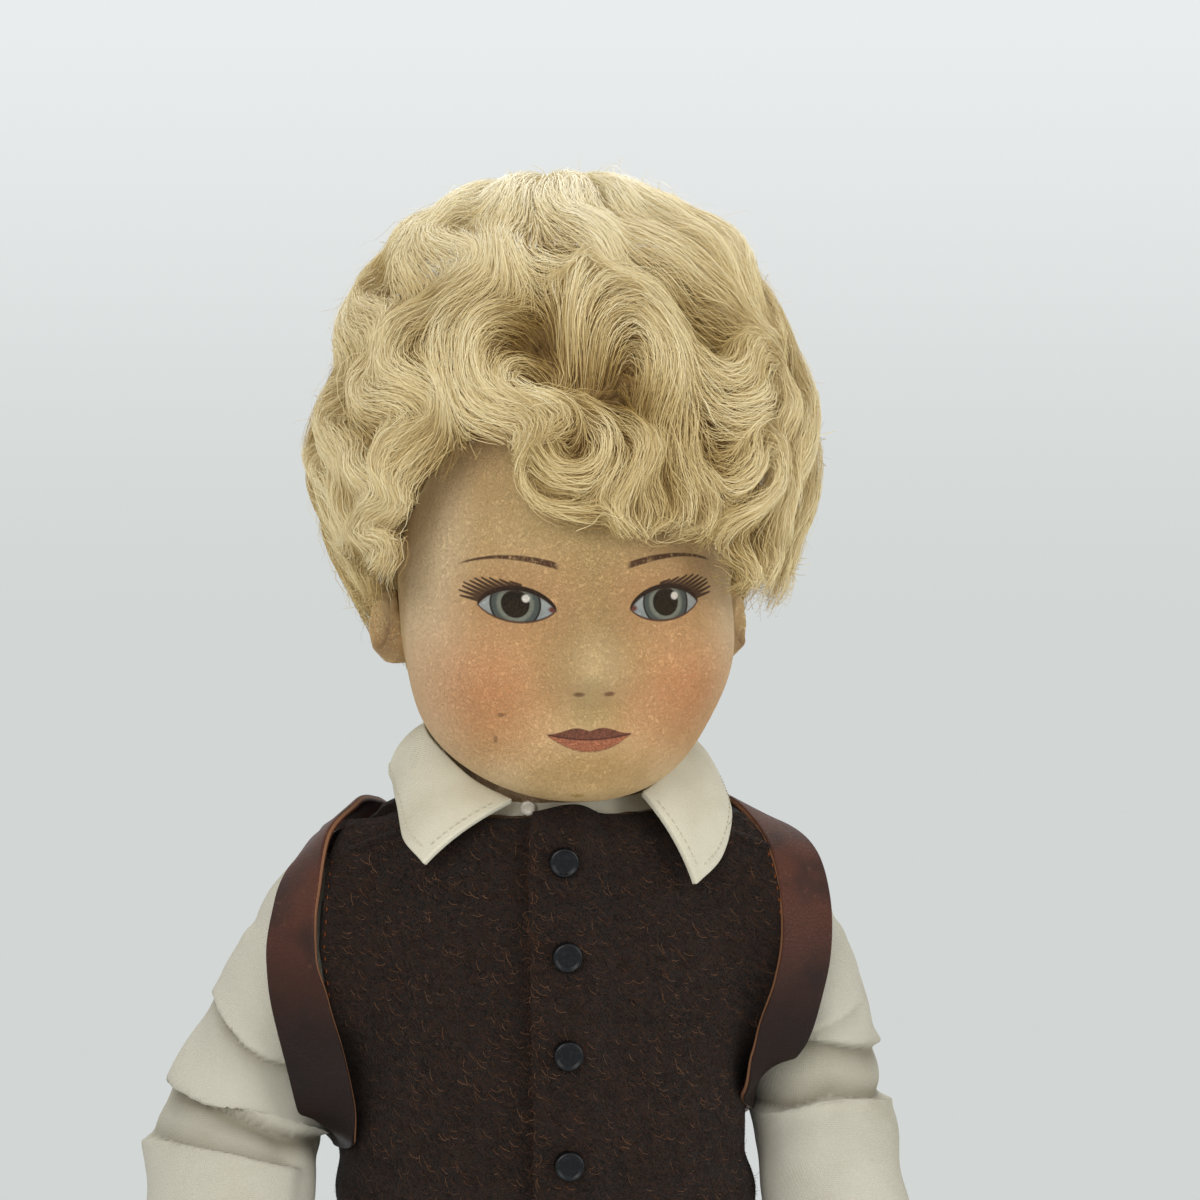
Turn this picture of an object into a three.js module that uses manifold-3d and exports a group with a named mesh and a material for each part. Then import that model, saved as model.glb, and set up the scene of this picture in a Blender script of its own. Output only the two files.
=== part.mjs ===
// Jointed felt doll of a boy, standing. A stuffed felt body with disc joints carries a mohair wig,
// a cotton shirt, a felt waistcoat and breeches, leather shoes and a leather satchel.
// Millimetres, +Z up, the doll looks along -Y, its right side is at -X.

import * as THREE from "three";
import { mergeVertices } from "three/addons/utils/BufferGeometryUtils.js";
import Module from "manifold-3d";

const wasm = await Module();
wasm.setup();

// Clearance between pieces that touch, and the room a turning piece needs
const GAP = 0.4;
const TURNING_GAP = 0.6;

// Stuffed body
const HIP_HEIGHT = 186;
const TORSO_LENGTH = 134;
const TORSO_HALF_WIDTH = 34.9;
const TORSO_HALF_DEPTH = 26;
const TORSO_SQUARENESS = 2.3;
const SHOULDER_DROP = 24;
const ARM_FACE_X = 33.5;
const KEEL_HALF_WIDTH = 8;

// Disc joints: two hardboard discs on a cotter pin
const DISC_THICKNESS = 2;
const NECK_DISC_RADIUS = 11.5;
const SHOULDER_DISC_RADIUS = 10;
const HIP_DISC_RADIUS = 12;
const PIN_RADIUS = 1;
const WASHER_RADIUS = 3.4;
const WASHER_THICKNESS = 0.8;
const PIN_CURL_RADIUS = 1.4;
const WELL_DEPTH = 4.2;

// Head
const NECK_RADIUS = 14.5;
const HEAD_RISE = 46;
const HEAD_FORWARD = 4;
const HEAD_SIDE_SHIFT = 3;
const HEAD_HALF_WIDTH = 32.5;
const HEAD_FRONT = 38;
const HEAD_BACK = 38;
const HEAD_TOP = 54;
const JAW_DEPTH = 42;
const NAPE_DEPTH = 31;
const JAW_SQUARENESS = 2.3;
const NOSE_LENGTH = 8;
const CHEEK_FULLNESS = 2.4;
const CHIN_LENGTH = 8;
const CHIN_DROP = 7.5;
const EYE_HOLLOW = 1.6;
const EAR_HEIGHT = 18;
const EAR_WIDTH = 13;
const EAR_STANDOFF = 4.5;

// Wig
const WIG_HALF_WIDTH = 50.5;
const WIG_FRONT = 45;
const WIG_BACK = 47;
const WIG_TOP = 74;
const WIG_SQUARENESS = 2.5;
const WIG_CAP_GAP = 0.9;
const WIG_WAVE = 1.8;
const WIG_EDGE_SHARE = 0.42;

// Shirt
const SHIRT_WALL = 0.8;
const SHIRT_TAIL = 40;
const COLLAR_WALL = 1.2;
const COLLAR_FRONT_RISE = 3;
const COLLAR_BACK_RISE = 15;
const COLLAR_POINT_LENGTH = 20;
const COLLAR_BACK_WIDTH = 11;
const COLLAR_OPENING_ANGLE = 36;
const SHIRT_BUTTON_RADIUS = 2.6;

// Waistcoat
const VEST_WALL = 2;
const VEST_HEM = 50;
const VEST_OVERLAP_ANGLE = 14;
const VEST_BUTTON_RADIUS = 2.8;
const VEST_BUTTON_HEIGHT = 2.4;
const VEST_BUTTON_DROPS = [10, 27, 45, 65];
const ARMHOLE_RADIUS = 19;

// Arms, sleeves and cuffs
const ARM_ROOT_RADIUS = 12.5;
const ARM_ROOT_LENGTH = 19;
const ARM_SPREAD = { right: 16, left: 9.5 };
const UPPER_ARM_LENGTH = 41;
const FOREARM_LENGTH = 44;
const HAND_LENGTH = 34;
const ELBOW_BEND = 38;
const ARM_RADIUS = 9.6;
const SLEEVE_RADIUS = 13.6;
const SLEEVE_WALL = 1;
const CUFF_LENGTH = 11;
const CUFF_WALL = 1.6;
const CUFF_BUTTON_RADIUS = 2.2;

// Legs, breeches, stockings and shoes
const LEG_ROOT_RADIUS = 20;
const THIGH_HALF_WIDTH = 12.6;
const CALF_RADIUS = 11.5;
const ANKLE_RADIUS = 9;
const KNEE_HEIGHT = 96;
const BREECHES_WALL = 2;
const BREECHES_WAIST = 56;
const STOCKING_WALL = 1.1;
const STOCKING_TUCK = 16;
const SHOE_LENGTH = 60;
const SHOE_WIDTH = 27;
const SHOE_HEEL_REACH = 18;
const SHOE_COLLAR_HEIGHT = 31;
const SHOE_WALL = 1.8;
const SOLE_THICKNESS = 5;
const SOLE_WELT = 1.2;
const LEG_BACK_SWING = 15;

// Satchel and its straps
const STRAP_WIDTH = 11.5;
const STRAP_THICKNESS = 1.5;
const SATCHEL_WIDTH = 62;
const SATCHEL_HEIGHT = 58;
const SATCHEL_DEPTH = 20;
const SATCHEL_DROP = 24;
const SATCHEL_WALL = 1.5;
const SATCHEL_CORNER = 9;
const FLAP_COVER = 0.62;
const TAB_WIDTH = 11;

// Heights and depths that follow from the sizes above
const NECK_Z = HIP_HEIGHT + TORSO_LENGTH;
const SHOULDER_Z = NECK_Z - SHOULDER_DROP;
const HEAD_CENTRE = new THREE.Vector3(HEAD_SIDE_SHIFT, -HEAD_FORWARD, NECK_Z + HEAD_RISE);
const LEG_CENTRE_X = KEEL_HALF_WIDTH + GAP + BREECHES_WALL + TURNING_GAP + THIGH_HALF_WIDTH;
const SHIRT_INNER = GAP;
const VEST_INNER = SHIRT_INNER + SHIRT_WALL + GAP;
const BREECHES_ROOT_RADIUS = LEG_ROOT_RADIUS + GAP + BREECHES_WALL;
const RECESS_RADIUS = BREECHES_ROOT_RADIUS + TURNING_GAP;
const HEM_Z = HIP_HEIGHT + VEST_HEM;
const WAIST_Z = HIP_HEIGHT + BREECHES_WAIST;

const SIDES = [
  { name: "right", sign: -1 },
  { name: "left", sign: 1 },
];
const ROUND = 12;
const BODY_SIDES = 20;
const LIMB_SIDES = 10;
const HEAD_SIDES = 24;
const vec = (x, y, z) => new THREE.Vector3(x, y, z);
const radians = THREE.MathUtils.degToRad;
const smooth = (value, low, high) => THREE.MathUtils.smoothstep(value, low, high);
const bell = (distance, width) => Math.exp(-((distance / width) ** 2));
const range = (count) => Array.from({ length: count }, (_, index) => index);
const steps = (from, to, count) => range(count + 1).map((i) => from + ((to - from) * i) / count);

// Value at a place in a table of [place, value, ...] rows, eased between the rows
function along(table, place, column = 1) {
  const last = table.length - 1;
  const next = table.findIndex((row) => row[0] > place);
  if (next === 0) return table[0][column];
  if (next === -1) return table[last][column];
  const low = table[next - 1];
  const high = table[next];
  const share = (place - low[0]) / (high[0] - low[0]);
  return low[column] + (high[column] - low[column]) * smooth(share, 0, 1);
}

// Solids from points

function outward(geometry) {
  const spots = geometry.attributes.position;
  const order = geometry.index.array;
  const [a, b, c] = [vec(0, 0, 0), vec(0, 0, 0), vec(0, 0, 0)];
  let volume = 0;
  for (let i = 0; i < order.length; i += 3) {
    a.fromBufferAttribute(spots, order[i]);
    b.fromBufferAttribute(spots, order[i + 1]);
    c.fromBufferAttribute(spots, order[i + 2]);
    volume += a.dot(b.cross(c));
  }
  if (volume < 0) {
    for (let i = 0; i < order.length; i += 3) {
      [order[i + 1], order[i + 2]] = [order[i + 2], order[i + 1]];
    }
  }
  return geometry;
}

function solid(points, triangles) {
  const geometry = new THREE.BufferGeometry().setFromPoints(points);
  geometry.setIndex(triangles);
  return outward(geometry);
}

// Solid over closed rings of equal count, with both ends capped
function skin(rings) {
  const count = rings[0].length;
  const points = rings.flat();
  const triangles = [];
  for (let row = 0; row < rings.length - 1; row += 1) {
    for (let i = 0; i < count; i += 1) {
      const a = row * count + i;
      const b = row * count + ((i + 1) % count);
      triangles.push(a, b, b + count, a, b + count, a + count);
    }
  }
  const ends = [[0, rings[0]], [points.length - count, rings.at(-1)]];
  ends.forEach(([start, ring], end) => {
    const middle = ring.reduce((sum, p) => sum.add(p), vec(0, 0, 0)).divideScalar(count);
    const hub = points.push(middle) - 1;
    for (let i = 0; i < count; i += 1) {
      const [a, b] = [start + i, start + ((i + 1) % count)];
      triangles.push(...(end === 0 ? [hub, b, a] : [hub, a, b]));
    }
  });
  return solid(points, triangles);
}

// Wall between two grids of points, closed all round, or wrapped into a tube
function wall(outer, inner, wrapped = false) {
  const rows = outer.length;
  const columns = outer[0].length;
  const points = [...outer.flat(), ...inner.flat()];
  const shift = rows * columns;
  const triangles = [];
  const quad = (a, b, c, d) => triangles.push(a, b, c, a, c, d);
  const spans = wrapped ? columns : columns - 1;
  const at = (row, column) => row * columns + (column % columns);
  for (let row = 0; row < rows - 1; row += 1) {
    for (let column = 0; column < spans; column += 1) {
      const corners = [at(row, column), at(row, column + 1), at(row + 1, column + 1), at(row + 1, column)];
      quad(...corners);
      quad(...corners.map((corner) => corner + shift).reverse());
    }
  }
  for (let column = 0; column < spans; column += 1) {
    quad(at(0, column + 1), at(0, column), at(0, column) + shift, at(0, column + 1) + shift);
    const [a, b] = [at(rows - 1, column), at(rows - 1, column + 1)];
    quad(a, b, b + shift, a + shift);
  }
  if (!wrapped) {
    for (let row = 0; row < rows - 1; row += 1) {
      quad(at(row, 0), at(row + 1, 0), at(row + 1, 0) + shift, at(row, 0) + shift);
      const [a, b] = [at(row, columns - 1), at(row + 1, columns - 1)];
      quad(b, a, a + shift, b + shift);
    }
  }
  return solid(points, triangles);
}

// Three's own solids, with shared corners and no collapsed faces
function welded(geometry) {
  geometry.deleteAttribute("normal");
  geometry.deleteAttribute("uv");
  const joined = mergeVertices(geometry, 1e-4);
  const kept = [];
  const order = joined.index.array;
  for (let i = 0; i < order.length; i += 3) {
    const [a, b, c] = order.subarray(i, i + 3);
    if (a !== b && b !== c && a !== c) kept.push(a, b, c);
  }
  joined.setIndex(kept);
  return outward(joined);
}

// Profile of [radius, height] rows turned about an axis that starts at a place
function turned(profile, place, axis, sides = ROUND) {
  const rows = profile.map(([radius, height]) => new THREE.Vector2(radius, height));
  const geometry = welded(new THREE.LatheGeometry(rows, sides));
  const turn = new THREE.Quaternion().setFromUnitVectors(vec(0, 1, 0), axis);
  return geometry.applyQuaternion(turn).translate(place.x, place.y, place.z);
}

// Outline drawn in Y and Z, extruded along X between two places
function extrudedAlongX(outline, from, to) {
  const settings = { depth: to - from, bevelEnabled: false, curveSegments: 8 };
  const geometry = new THREE.ExtrudeGeometry(outline, settings);
  const upright = new THREE.Matrix4().set(0, 0, 1, from, 1, 0, 0, 0, 0, 1, 0, 0, 0, 0, 0, 1);
  return welded(geometry.applyMatrix4(upright));
}

function box(low, high) {
  const size = high.clone().sub(low);
  const middle = high.clone().add(low).divideScalar(2);
  const geometry = new THREE.BoxGeometry(size.x, size.y, size.z);
  return welded(geometry.translate(middle.x, middle.y, middle.z));
}

// Joining and cutting

function manifoldOf(geometry) {
  const vertProperties = Float32Array.from(geometry.attributes.position.array);
  const triVerts = Uint32Array.from(geometry.index.array);
  return new wasm.Manifold(new wasm.Mesh({ numProp: 3, vertProperties, triVerts }));
}

function geometryOf(manifold) {
  const mesh = manifold.getMesh();
  const geometry = new THREE.BufferGeometry();
  geometry.setAttribute("position", new THREE.BufferAttribute(Float32Array.from(mesh.vertProperties), 3));
  geometry.setIndex(Array.from(mesh.triVerts));
  return geometry;
}

function joined(...parts) {
  return geometryOf(parts.map(manifoldOf).reduce((sum, part) => sum.add(part)));
}

function cut(part, ...tools) {
  return geometryOf(tools.map(manifoldOf).reduce((left, tool) => left.subtract(tool), manifoldOf(part)));
}

function mirrored(geometry) {
  return outward(geometry.clone().scale(-1, 1, 1));
}

// Model being put together

const group = new THREE.Group();
group.name = "felt_doll";

const FINISHES = {
  skin_felt: { color: 0xe6bfa2, roughness: 0.95, metalness: 0 },
  mohair: { color: 0xc9ad72, roughness: 0.8, metalness: 0 },
  shirt_cotton: { color: 0xefe8d8, roughness: 0.9, metalness: 0 },
  vest_felt: { color: 0x4a352a, roughness: 0.97, metalness: 0 },
  breeches_felt: { color: 0x5a5148, roughness: 0.97, metalness: 0 },
  stocking_knit: { color: 0xd9cdb5, roughness: 0.95, metalness: 0 },
  strap_leather: { color: 0x5a2f22, roughness: 0.55, metalness: 0 },
  shoe_leather: { color: 0x4a2c1e, roughness: 0.5, metalness: 0 },
  sole_leather: { color: 0x2e2019, roughness: 0.7, metalness: 0 },
  button_gloss: { color: 0x20242e, roughness: 0.25, metalness: 0 },
  shell_button: { color: 0xe9e2d2, roughness: 0.35, metalness: 0 },
  hardboard: { color: 0x8a6a48, roughness: 0.85, metalness: 0 },
  pin_steel: { color: 0xb8bcc0, roughness: 0.35, metalness: 1 },
  stud_brass: { color: 0xb08d4a, roughness: 0.35, metalness: 1 },
  filling: { color: 0xe8e4da, roughness: 1, metalness: 0 },
};

function add(name, geometry, finish) {
  const mesh = new THREE.Mesh(geometry, new THREE.MeshStandardMaterial(FINISHES[finish]));
  mesh.name = name;
  group.add(mesh);
}

// Disc joint: what lies on the body's side, on the limb's side, and the pockets both need

function discJoint(name, place, axis, radius) {
  const face = GAP / 2;
  const back = face + DISC_THICKNESS;
  const bore = PIN_RADIUS + GAP / 2;
  const discProfile = [[bore, face], [radius, face], [radius, back], [bore, back], [bore, face]];
  const inward = axis.clone().negate();
  add(`${name}_disc_body`, turned(discProfile, place, inward), "hardboard");
  add(`${name}_disc_limb`, turned(discProfile, place, axis), "hardboard");
  add(`${name}_pin`, cotterPin(place, axis, back), "pin_steel");
  return { body: jointPocket(place, inward, radius, back), limb: jointPocket(place, axis, radius, back) };
}

function jointPocket(place, axis, radius, back) {
  const rim = radius + GAP;
  const floor = back + GAP;
  const well = WASHER_RADIUS + GAP;
  const bottom = floor + WELL_DEPTH;
  const profile = [[0, -GAP / 2], [rim, -GAP / 2], [rim, floor], [well, floor], [well, bottom], [0, bottom]];
  return turned(profile, place, axis);
}

// Cotter pin: washer and eye on the body's side, two legs curled back on the limb's side
function cotterPin(place, axis, back) {
  const head = back + GAP / 2;
  const shaft = [
    [0, -head - WASHER_THICKNESS],
    [WASHER_RADIUS, -head - WASHER_THICKNESS],
    [WASHER_RADIUS, -head],
    [PIN_RADIUS, -head],
    [PIN_RADIUS, head + PIN_RADIUS],
    [0, head + PIN_RADIUS],
  ];
  const turn = new THREE.Quaternion().setFromUnitVectors(vec(0, 1, 0), axis);
  const legs = [1, -1].map((side) => {
    const bend = (angle) => {
      const along = head + PIN_RADIUS + PIN_CURL_RADIUS * Math.sin(angle);
      return vec(side * PIN_CURL_RADIUS * (1 - Math.cos(angle)), along, 0);
    };
    const rings = steps(-0.3, Math.PI * 0.8, 4).map((angle) => {
      const middle = bend(angle);
      const tangent = bend(angle + 0.01).sub(bend(angle - 0.01)).normalize();
      const across = vec(-tangent.y, tangent.x, 0);
      return range(5).map((i) => {
        const turnAngle = (i / 5) * Math.PI * 2;
        const reach = across.clone().multiplyScalar(Math.cos(turnAngle) * PIN_RADIUS * 0.6);
        return middle.clone().add(reach).add(vec(0, 0, Math.sin(turnAngle) * PIN_RADIUS * 0.6));
      });
    });
    return skin(rings).applyQuaternion(turn).translate(place.x, place.y, place.z);
  });
  return joined(turned(shaft, place, axis, 8), ...legs);
}

// Torso form: shares of its length above the hips, of its half width and half depth, and a forward shift

const TORSO_SHAPE = [
  [-0.14, 0.5, 0.55, 0],
  [-0.09, 0.82, 0.82, 0],
  [0.03, 1, 0.97, 0],
  [0.28, 0.97, 1, -1],
  [0.55, 0.98, 1.05, -2],
  [0.78, 1.02, 1, -1],
  [0.89, 1.01, 0.88, 0],
  [0.945, 0.97, 0.8, 0],
  [0.972, 0.87, 0.74, 0],
  [0.988, 0.73, 0.7, 0],
  [1, 0.55, 0.64, 0],
];
const BODY_ANGLES = range(BODY_SIDES).map((i) => (i / BODY_SIDES) * Math.PI * 2);
const TORSO_BOTTOM_Z = HIP_HEIGHT + TORSO_SHAPE[0][0] * TORSO_LENGTH;

function torsoSurface(angle, z) {
  const share = (z - HIP_HEIGHT) / TORSO_LENGTH;
  const rounded = (value) => Math.sign(value) * Math.abs(value) ** (2 / TORSO_SQUARENESS);
  const x = TORSO_HALF_WIDTH * along(TORSO_SHAPE, share, 1) * rounded(Math.sin(angle));
  const y = -TORSO_HALF_DEPTH * along(TORSO_SHAPE, share, 2) * rounded(Math.cos(angle));
  return vec(x, y + along(TORSO_SHAPE, share, 3), z);
}

// Point over the torso, pushed out square to its surface
function overTorso(angle, z, offset) {
  const here = torsoSurface(angle, z);
  const around = torsoSurface(angle + 0.02, z).sub(torsoSurface(angle - 0.02, z));
  const up = torsoSurface(angle, Math.min(z + 0.8, NECK_Z)).sub(torsoSurface(angle, z - 0.8));
  return here.add(around.cross(up).normalize().multiplyScalar(offset));
}

function torsoHeights(from, to) {
  const bends = TORSO_SHAPE.map((row) => HIP_HEIGHT + row[0] * TORSO_LENGTH);
  const middles = bends.slice(1).map((z, i) => (z + bends[i]) / 2).slice(3, 6);
  const between = [...bends, ...middles].filter((z) => z > from + 1 && z < to - 1);
  return [from, ...between, to].sort((a, b) => a - b);
}

// Room that a leg and its breeches sweep, from the front quarter round to the back swing
function legRoom(sign) {
  const outline = new THREE.Shape();
  const reach = 2.2 * TORSO_HALF_DEPTH + RECESS_RADIUS;
  const back = radians(LEG_BACK_SWING);
  outline.moveTo(-reach, RECESS_RADIUS);
  outline.lineTo(0, RECESS_RADIUS);
  outline.absarc(0, 0, RECESS_RADIUS, Math.PI / 2, back, true);
  outline.lineTo(RECESS_RADIUS * Math.cos(back) + reach * Math.sin(back), -reach * Math.cos(back));
  outline.lineTo(-reach, -reach);
  const near = KEEL_HALF_WIDTH;
  const far = KEEL_HALF_WIDTH + 2 * TORSO_HALF_WIDTH;
  const room = extrudedAlongX(outline, sign > 0 ? near : -far, sign > 0 ? far : -near);
  return room.translate(0, 0, HIP_HEIGHT);
}

function armhole(sign, radius) {
  const from = ARM_FACE_X * 0.6;
  const to = ARM_FACE_X * 1.7;
  const profile = [[0, from], [radius, from], [radius, to], [0, to]];
  return turned(profile, vec(0, 0, SHOULDER_Z), vec(sign, 0, 0), 16);
}

const shoulderPlace = (sign) => vec(sign * ARM_FACE_X, 0, SHOULDER_Z);
const hipPlace = (sign) => vec(sign * KEEL_HALF_WIDTH, 0, HIP_HEIGHT);
const pockets = { neck: discJoint("neck", vec(0, 0, NECK_Z), vec(0, 0, 1), NECK_DISC_RADIUS) };
for (const { name, sign } of SIDES) {
  const axis = vec(sign, 0, 0);
  const shoulder = `shoulder_${name}`;
  pockets[shoulder] = discJoint(shoulder, shoulderPlace(sign), axis, SHOULDER_DISC_RADIUS);
  pockets[`hip_${name}`] = discJoint(`hip_${name}`, hipPlace(sign), axis, HIP_DISC_RADIUS);
}

function torso() {
  const heights = torsoHeights(TORSO_BOTTOM_Z, NECK_Z - GAP / 2);
  const form = skin(heights.map((z) => BODY_ANGLES.map((angle) => torsoSurface(angle, z))));
  const span = ARMHOLE_RADIUS;
  const flats = SIDES.map(({ sign }) => {
    const near = ARM_FACE_X - GAP / 2;
    const corners = [sign * near, sign * 2 * ARM_FACE_X].sort((a, b) => a - b);
    return box(vec(corners[0], -span, SHOULDER_Z - span), vec(corners[1], span, SHOULDER_Z + span));
  });
  const rooms = SIDES.map(({ sign }) => legRoom(sign));
  const sockets = Object.values(pockets).map((pocket) => pocket.body);
  return cut(form, ...flats, ...rooms, ...sockets);
}
add("torso", torso(), "skin_felt");

// Head

const FACE = { eyes: -3.6, noseTip: -15.5, cheeks: -17, chin: -36, eyeSpacing: 14.5 };

// Distance to a squared ellipsoid along a way out of its middle
function reachOf(way, halves, power) {
  const share = (axis) => Math.abs(way[axis] / halves[axis]) ** power;
  return (share("x") + share("y") + share("z")) ** (-1 / power);
}

function headSurface(azimuth, elevation, grow = 0) {
  const level = Math.cos(elevation);
  const way = vec(Math.sin(azimuth) * level, -Math.cos(azimuth) * level, Math.sin(elevation));
  const depth = way.y < 0 ? HEAD_FRONT : HEAD_BACK;
  const below = THREE.MathUtils.lerp(JAW_DEPTH, NAPE_DEPTH, smooth(way.y, -0.35, 0.45));
  const height = way.z > 0 ? HEAD_TOP : below;
  const power = way.z > 0 ? 2 : 2 + (JAW_SQUARENESS - 2) * smooth(-way.z, 0, 0.4);
  const spot = way.clone().multiplyScalar(reachOf(way, vec(HEAD_HALF_WIDTH, depth, height), power));
  const front = smooth(-way.y, 0.1, 0.5);
  const side = Math.abs(spot.x);
  const nose = bell(spot.x, 6) * bell(spot.z - FACE.noseTip, spot.z > FACE.noseTip ? 11 : 5);
  const cheek = bell(side - 19, 10) * bell(spot.z - FACE.cheeks, 10);
  const hollow = bell(side - FACE.eyeSpacing, 8) * bell(spot.z - FACE.eyes, 5);
  const chin = bell(spot.x, 13) * bell(spot.z - FACE.chin, 8);
  const jaw = bell(spot.x, 20) * smooth(-spot.z, 16, 38) * smooth(-spot.y, 10, 28);
  const push = front * (CHEEK_FULLNESS * cheek - EYE_HOLLOW * hollow) + grow;
  spot.addScaledVector(way, push);
  spot.y -= front * (NOSE_LENGTH * nose + CHIN_LENGTH * chin);
  spot.z -= CHIN_DROP * jaw;
  return spot.add(HEAD_CENTRE);
}

const HEAD_AZIMUTHS = range(HEAD_SIDES).map((i) => (i / HEAD_SIDES) * Math.PI * 2);

function headForm(grow = 0) {
  const elevations = steps(-80, 80, 16).map(radians);
  return skin(elevations.map((el) => HEAD_AZIMUTHS.map((az) => headSurface(az, el, grow))));
}

function head() {
  const base = NECK_Z + GAP / 2;
  const top = HEAD_CENTRE.z - NAPE_DEPTH / 2;
  const neckProfile = [[0, base], [NECK_RADIUS, base], [NECK_RADIUS, top], [0, top]];
  const neck = turned(neckProfile, vec(0, 0, 0), vec(0, 0, 1));
  return cut(joined(headForm(), neck), pockets.neck.limb);
}
add("head", head(), "skin_felt");

// Felt ear with a hollow in front, set against the side of the head
function ear(sign) {
  const place = vec(HEAD_CENTRE.x + sign * HEAD_HALF_WIDTH, 2, HEAD_CENTRE.z - 12.5);
  const ball = (x, y, z) => welded(new THREE.SphereGeometry(1, 10, 7).scale(x, y, z).rotateZ(-sign * 0.35));
  const shell = ball(EAR_STANDOFF + 1, EAR_WIDTH / 2, EAR_HEIGHT / 2).translate(place.x, place.y, place.z);
  const hollow = ball(EAR_STANDOFF * 0.7, EAR_WIDTH * 0.34, EAR_HEIGHT * 0.33);
  const sideways = sign * EAR_STANDOFF * 0.95;
  hollow.translate(place.x + sideways, place.y - EAR_WIDTH * 0.16, place.z + EAR_HEIGHT * 0.05);
  return cut(shell, hollow, headForm(GAP));
}
for (const { name, sign } of SIDES) add(`ear_${name}`, ear(sign), "skin_felt");

// Wig: curly mass over the head, with its lower edge given as an elevation round the head

const WIG_EDGE = [[0, 14], [42, 16], [70, 3], [95, 3], [108, 0], [124, -16], [146, -26], [180, -30]];

function wig() {
  const rows = 10;
  const shell = (outer) =>
    range(rows).map((row) =>
      HEAD_AZIMUTHS.map((azimuth) => {
        const turn = THREE.MathUtils.radToDeg(azimuth);
        const edge = radians(along(WIG_EDGE, turn > 180 ? 360 - turn : turn));
        const elevation = edge + (radians(84) - edge) * (row / (rows - 1));
        const inside = headSurface(azimuth, elevation, WIG_CAP_GAP);
        return outer ? wigSurface(azimuth, elevation, row / (rows - 1), inside) : inside;
      }),
    );
  const crown = (grid) => grid.at(-1).reduce((sum, p) => sum.add(p), vec(0, 0, 0)).divideScalar(HEAD_SIDES);
  const [outer, inner] = [shell(true), shell(false)];
  const lid = (grid) => [...grid, HEAD_AZIMUTHS.map(() => crown(grid))];
  return welded(wall(lid(outer), lid(inner), true));
}

function wigSurface(azimuth, elevation, share, inside) {
  const level = Math.cos(elevation);
  const way = vec(Math.sin(azimuth) * level, -Math.cos(azimuth) * level, Math.sin(elevation));
  const depth = way.y < 0 ? WIG_FRONT : WIG_BACK;
  const locks = Math.sin(7 * azimuth + 3 * Math.sin(4 * elevation)) * Math.sin(9 * elevation + 2 * azimuth);
  const base = reachOf(way, vec(WIG_HALF_WIDTH, depth, WIG_TOP), WIG_SQUARENESS);
  const reach = base + WIG_WAVE * locks * level;
  const full = way.clone().multiplyScalar(reach).add(HEAD_CENTRE);
  const fullness = WIG_EDGE_SHARE + (1 - WIG_EDGE_SHARE) * smooth(share, 0, 0.22);
  return inside.clone().lerp(full, fullness);
}
add("wig", wig(), "mohair");

// Shirt body: tube over the torso with round armholes

function torsoTube(from, to, inner, thickness) {
  const heights = torsoHeights(from, to);
  const grid = (offset) => heights.map((z) => BODY_ANGLES.map((angle) => overTorso(angle, z, offset(z))));
  return wall(grid((z) => inner(z) + thickness), grid(inner), true);
}

const SHIRT_TOP_Z = NECK_Z - 1.6;
const shirt = torsoTube(HIP_HEIGHT + SHIRT_TAIL, SHIRT_TOP_Z, () => SHIRT_INNER, SHIRT_WALL);
add("shirt_body", cut(shirt, ...SIDES.map(({ sign }) => armhole(sign, ARMHOLE_RADIUS))), "shirt_cotton");

// Collar: a stand round the neck and one leaf folded over it. Each row of a table is an angle from
// the front, a radius and a height over the neck joint.

const COLLAR_FOLD = [
  [0, 21, COLLAR_FRONT_RISE],
  [58, 22.2, COLLAR_FRONT_RISE + 0.6],
  [90, 23.5, 0.62 * COLLAR_FRONT_RISE + 0.38 * COLLAR_BACK_RISE + 2.4],
  [180, 21, COLLAR_BACK_RISE],
];
// Fall of the leaf under the level, by its angle from the front
const COLLAR_SLOPE = [[COLLAR_OPENING_ANGLE, 43], [60, 31], [95, 48], [180, 50]];
const collarPoint = (angle, radius, rise) =>
  vec(radius * Math.sin(angle), -radius * Math.cos(angle), NECK_Z + rise);
const collarDegrees = (angle) => Math.abs(THREE.MathUtils.radToDeg(angle));

// Stand from the shirt's top edge up to the fold, at a share of its height and a distance through it
function standPoint(angle, share, offset) {
  const degrees = collarDegrees(angle);
  const radius = along(COLLAR_FOLD, degrees, 1) - 2 * COLLAR_WALL - GAP + offset;
  const top = collarPoint(angle, radius, along(COLLAR_FOLD, degrees, 2) - COLLAR_WALL);
  return overTorso(angle, SHIRT_TOP_Z + GAP, SHIRT_INNER + offset).lerp(top, share);
}

function collarStand() {
  const angles = BODY_ANGLES.map((angle) => angle - Math.PI);
  const grid = (offset) =>
    [0, 0.5, 1].map((share) => angles.map((angle) => standPoint(angle, share, offset)));
  return wall(grid(COLLAR_WALL), grid(0), true);
}

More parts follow.
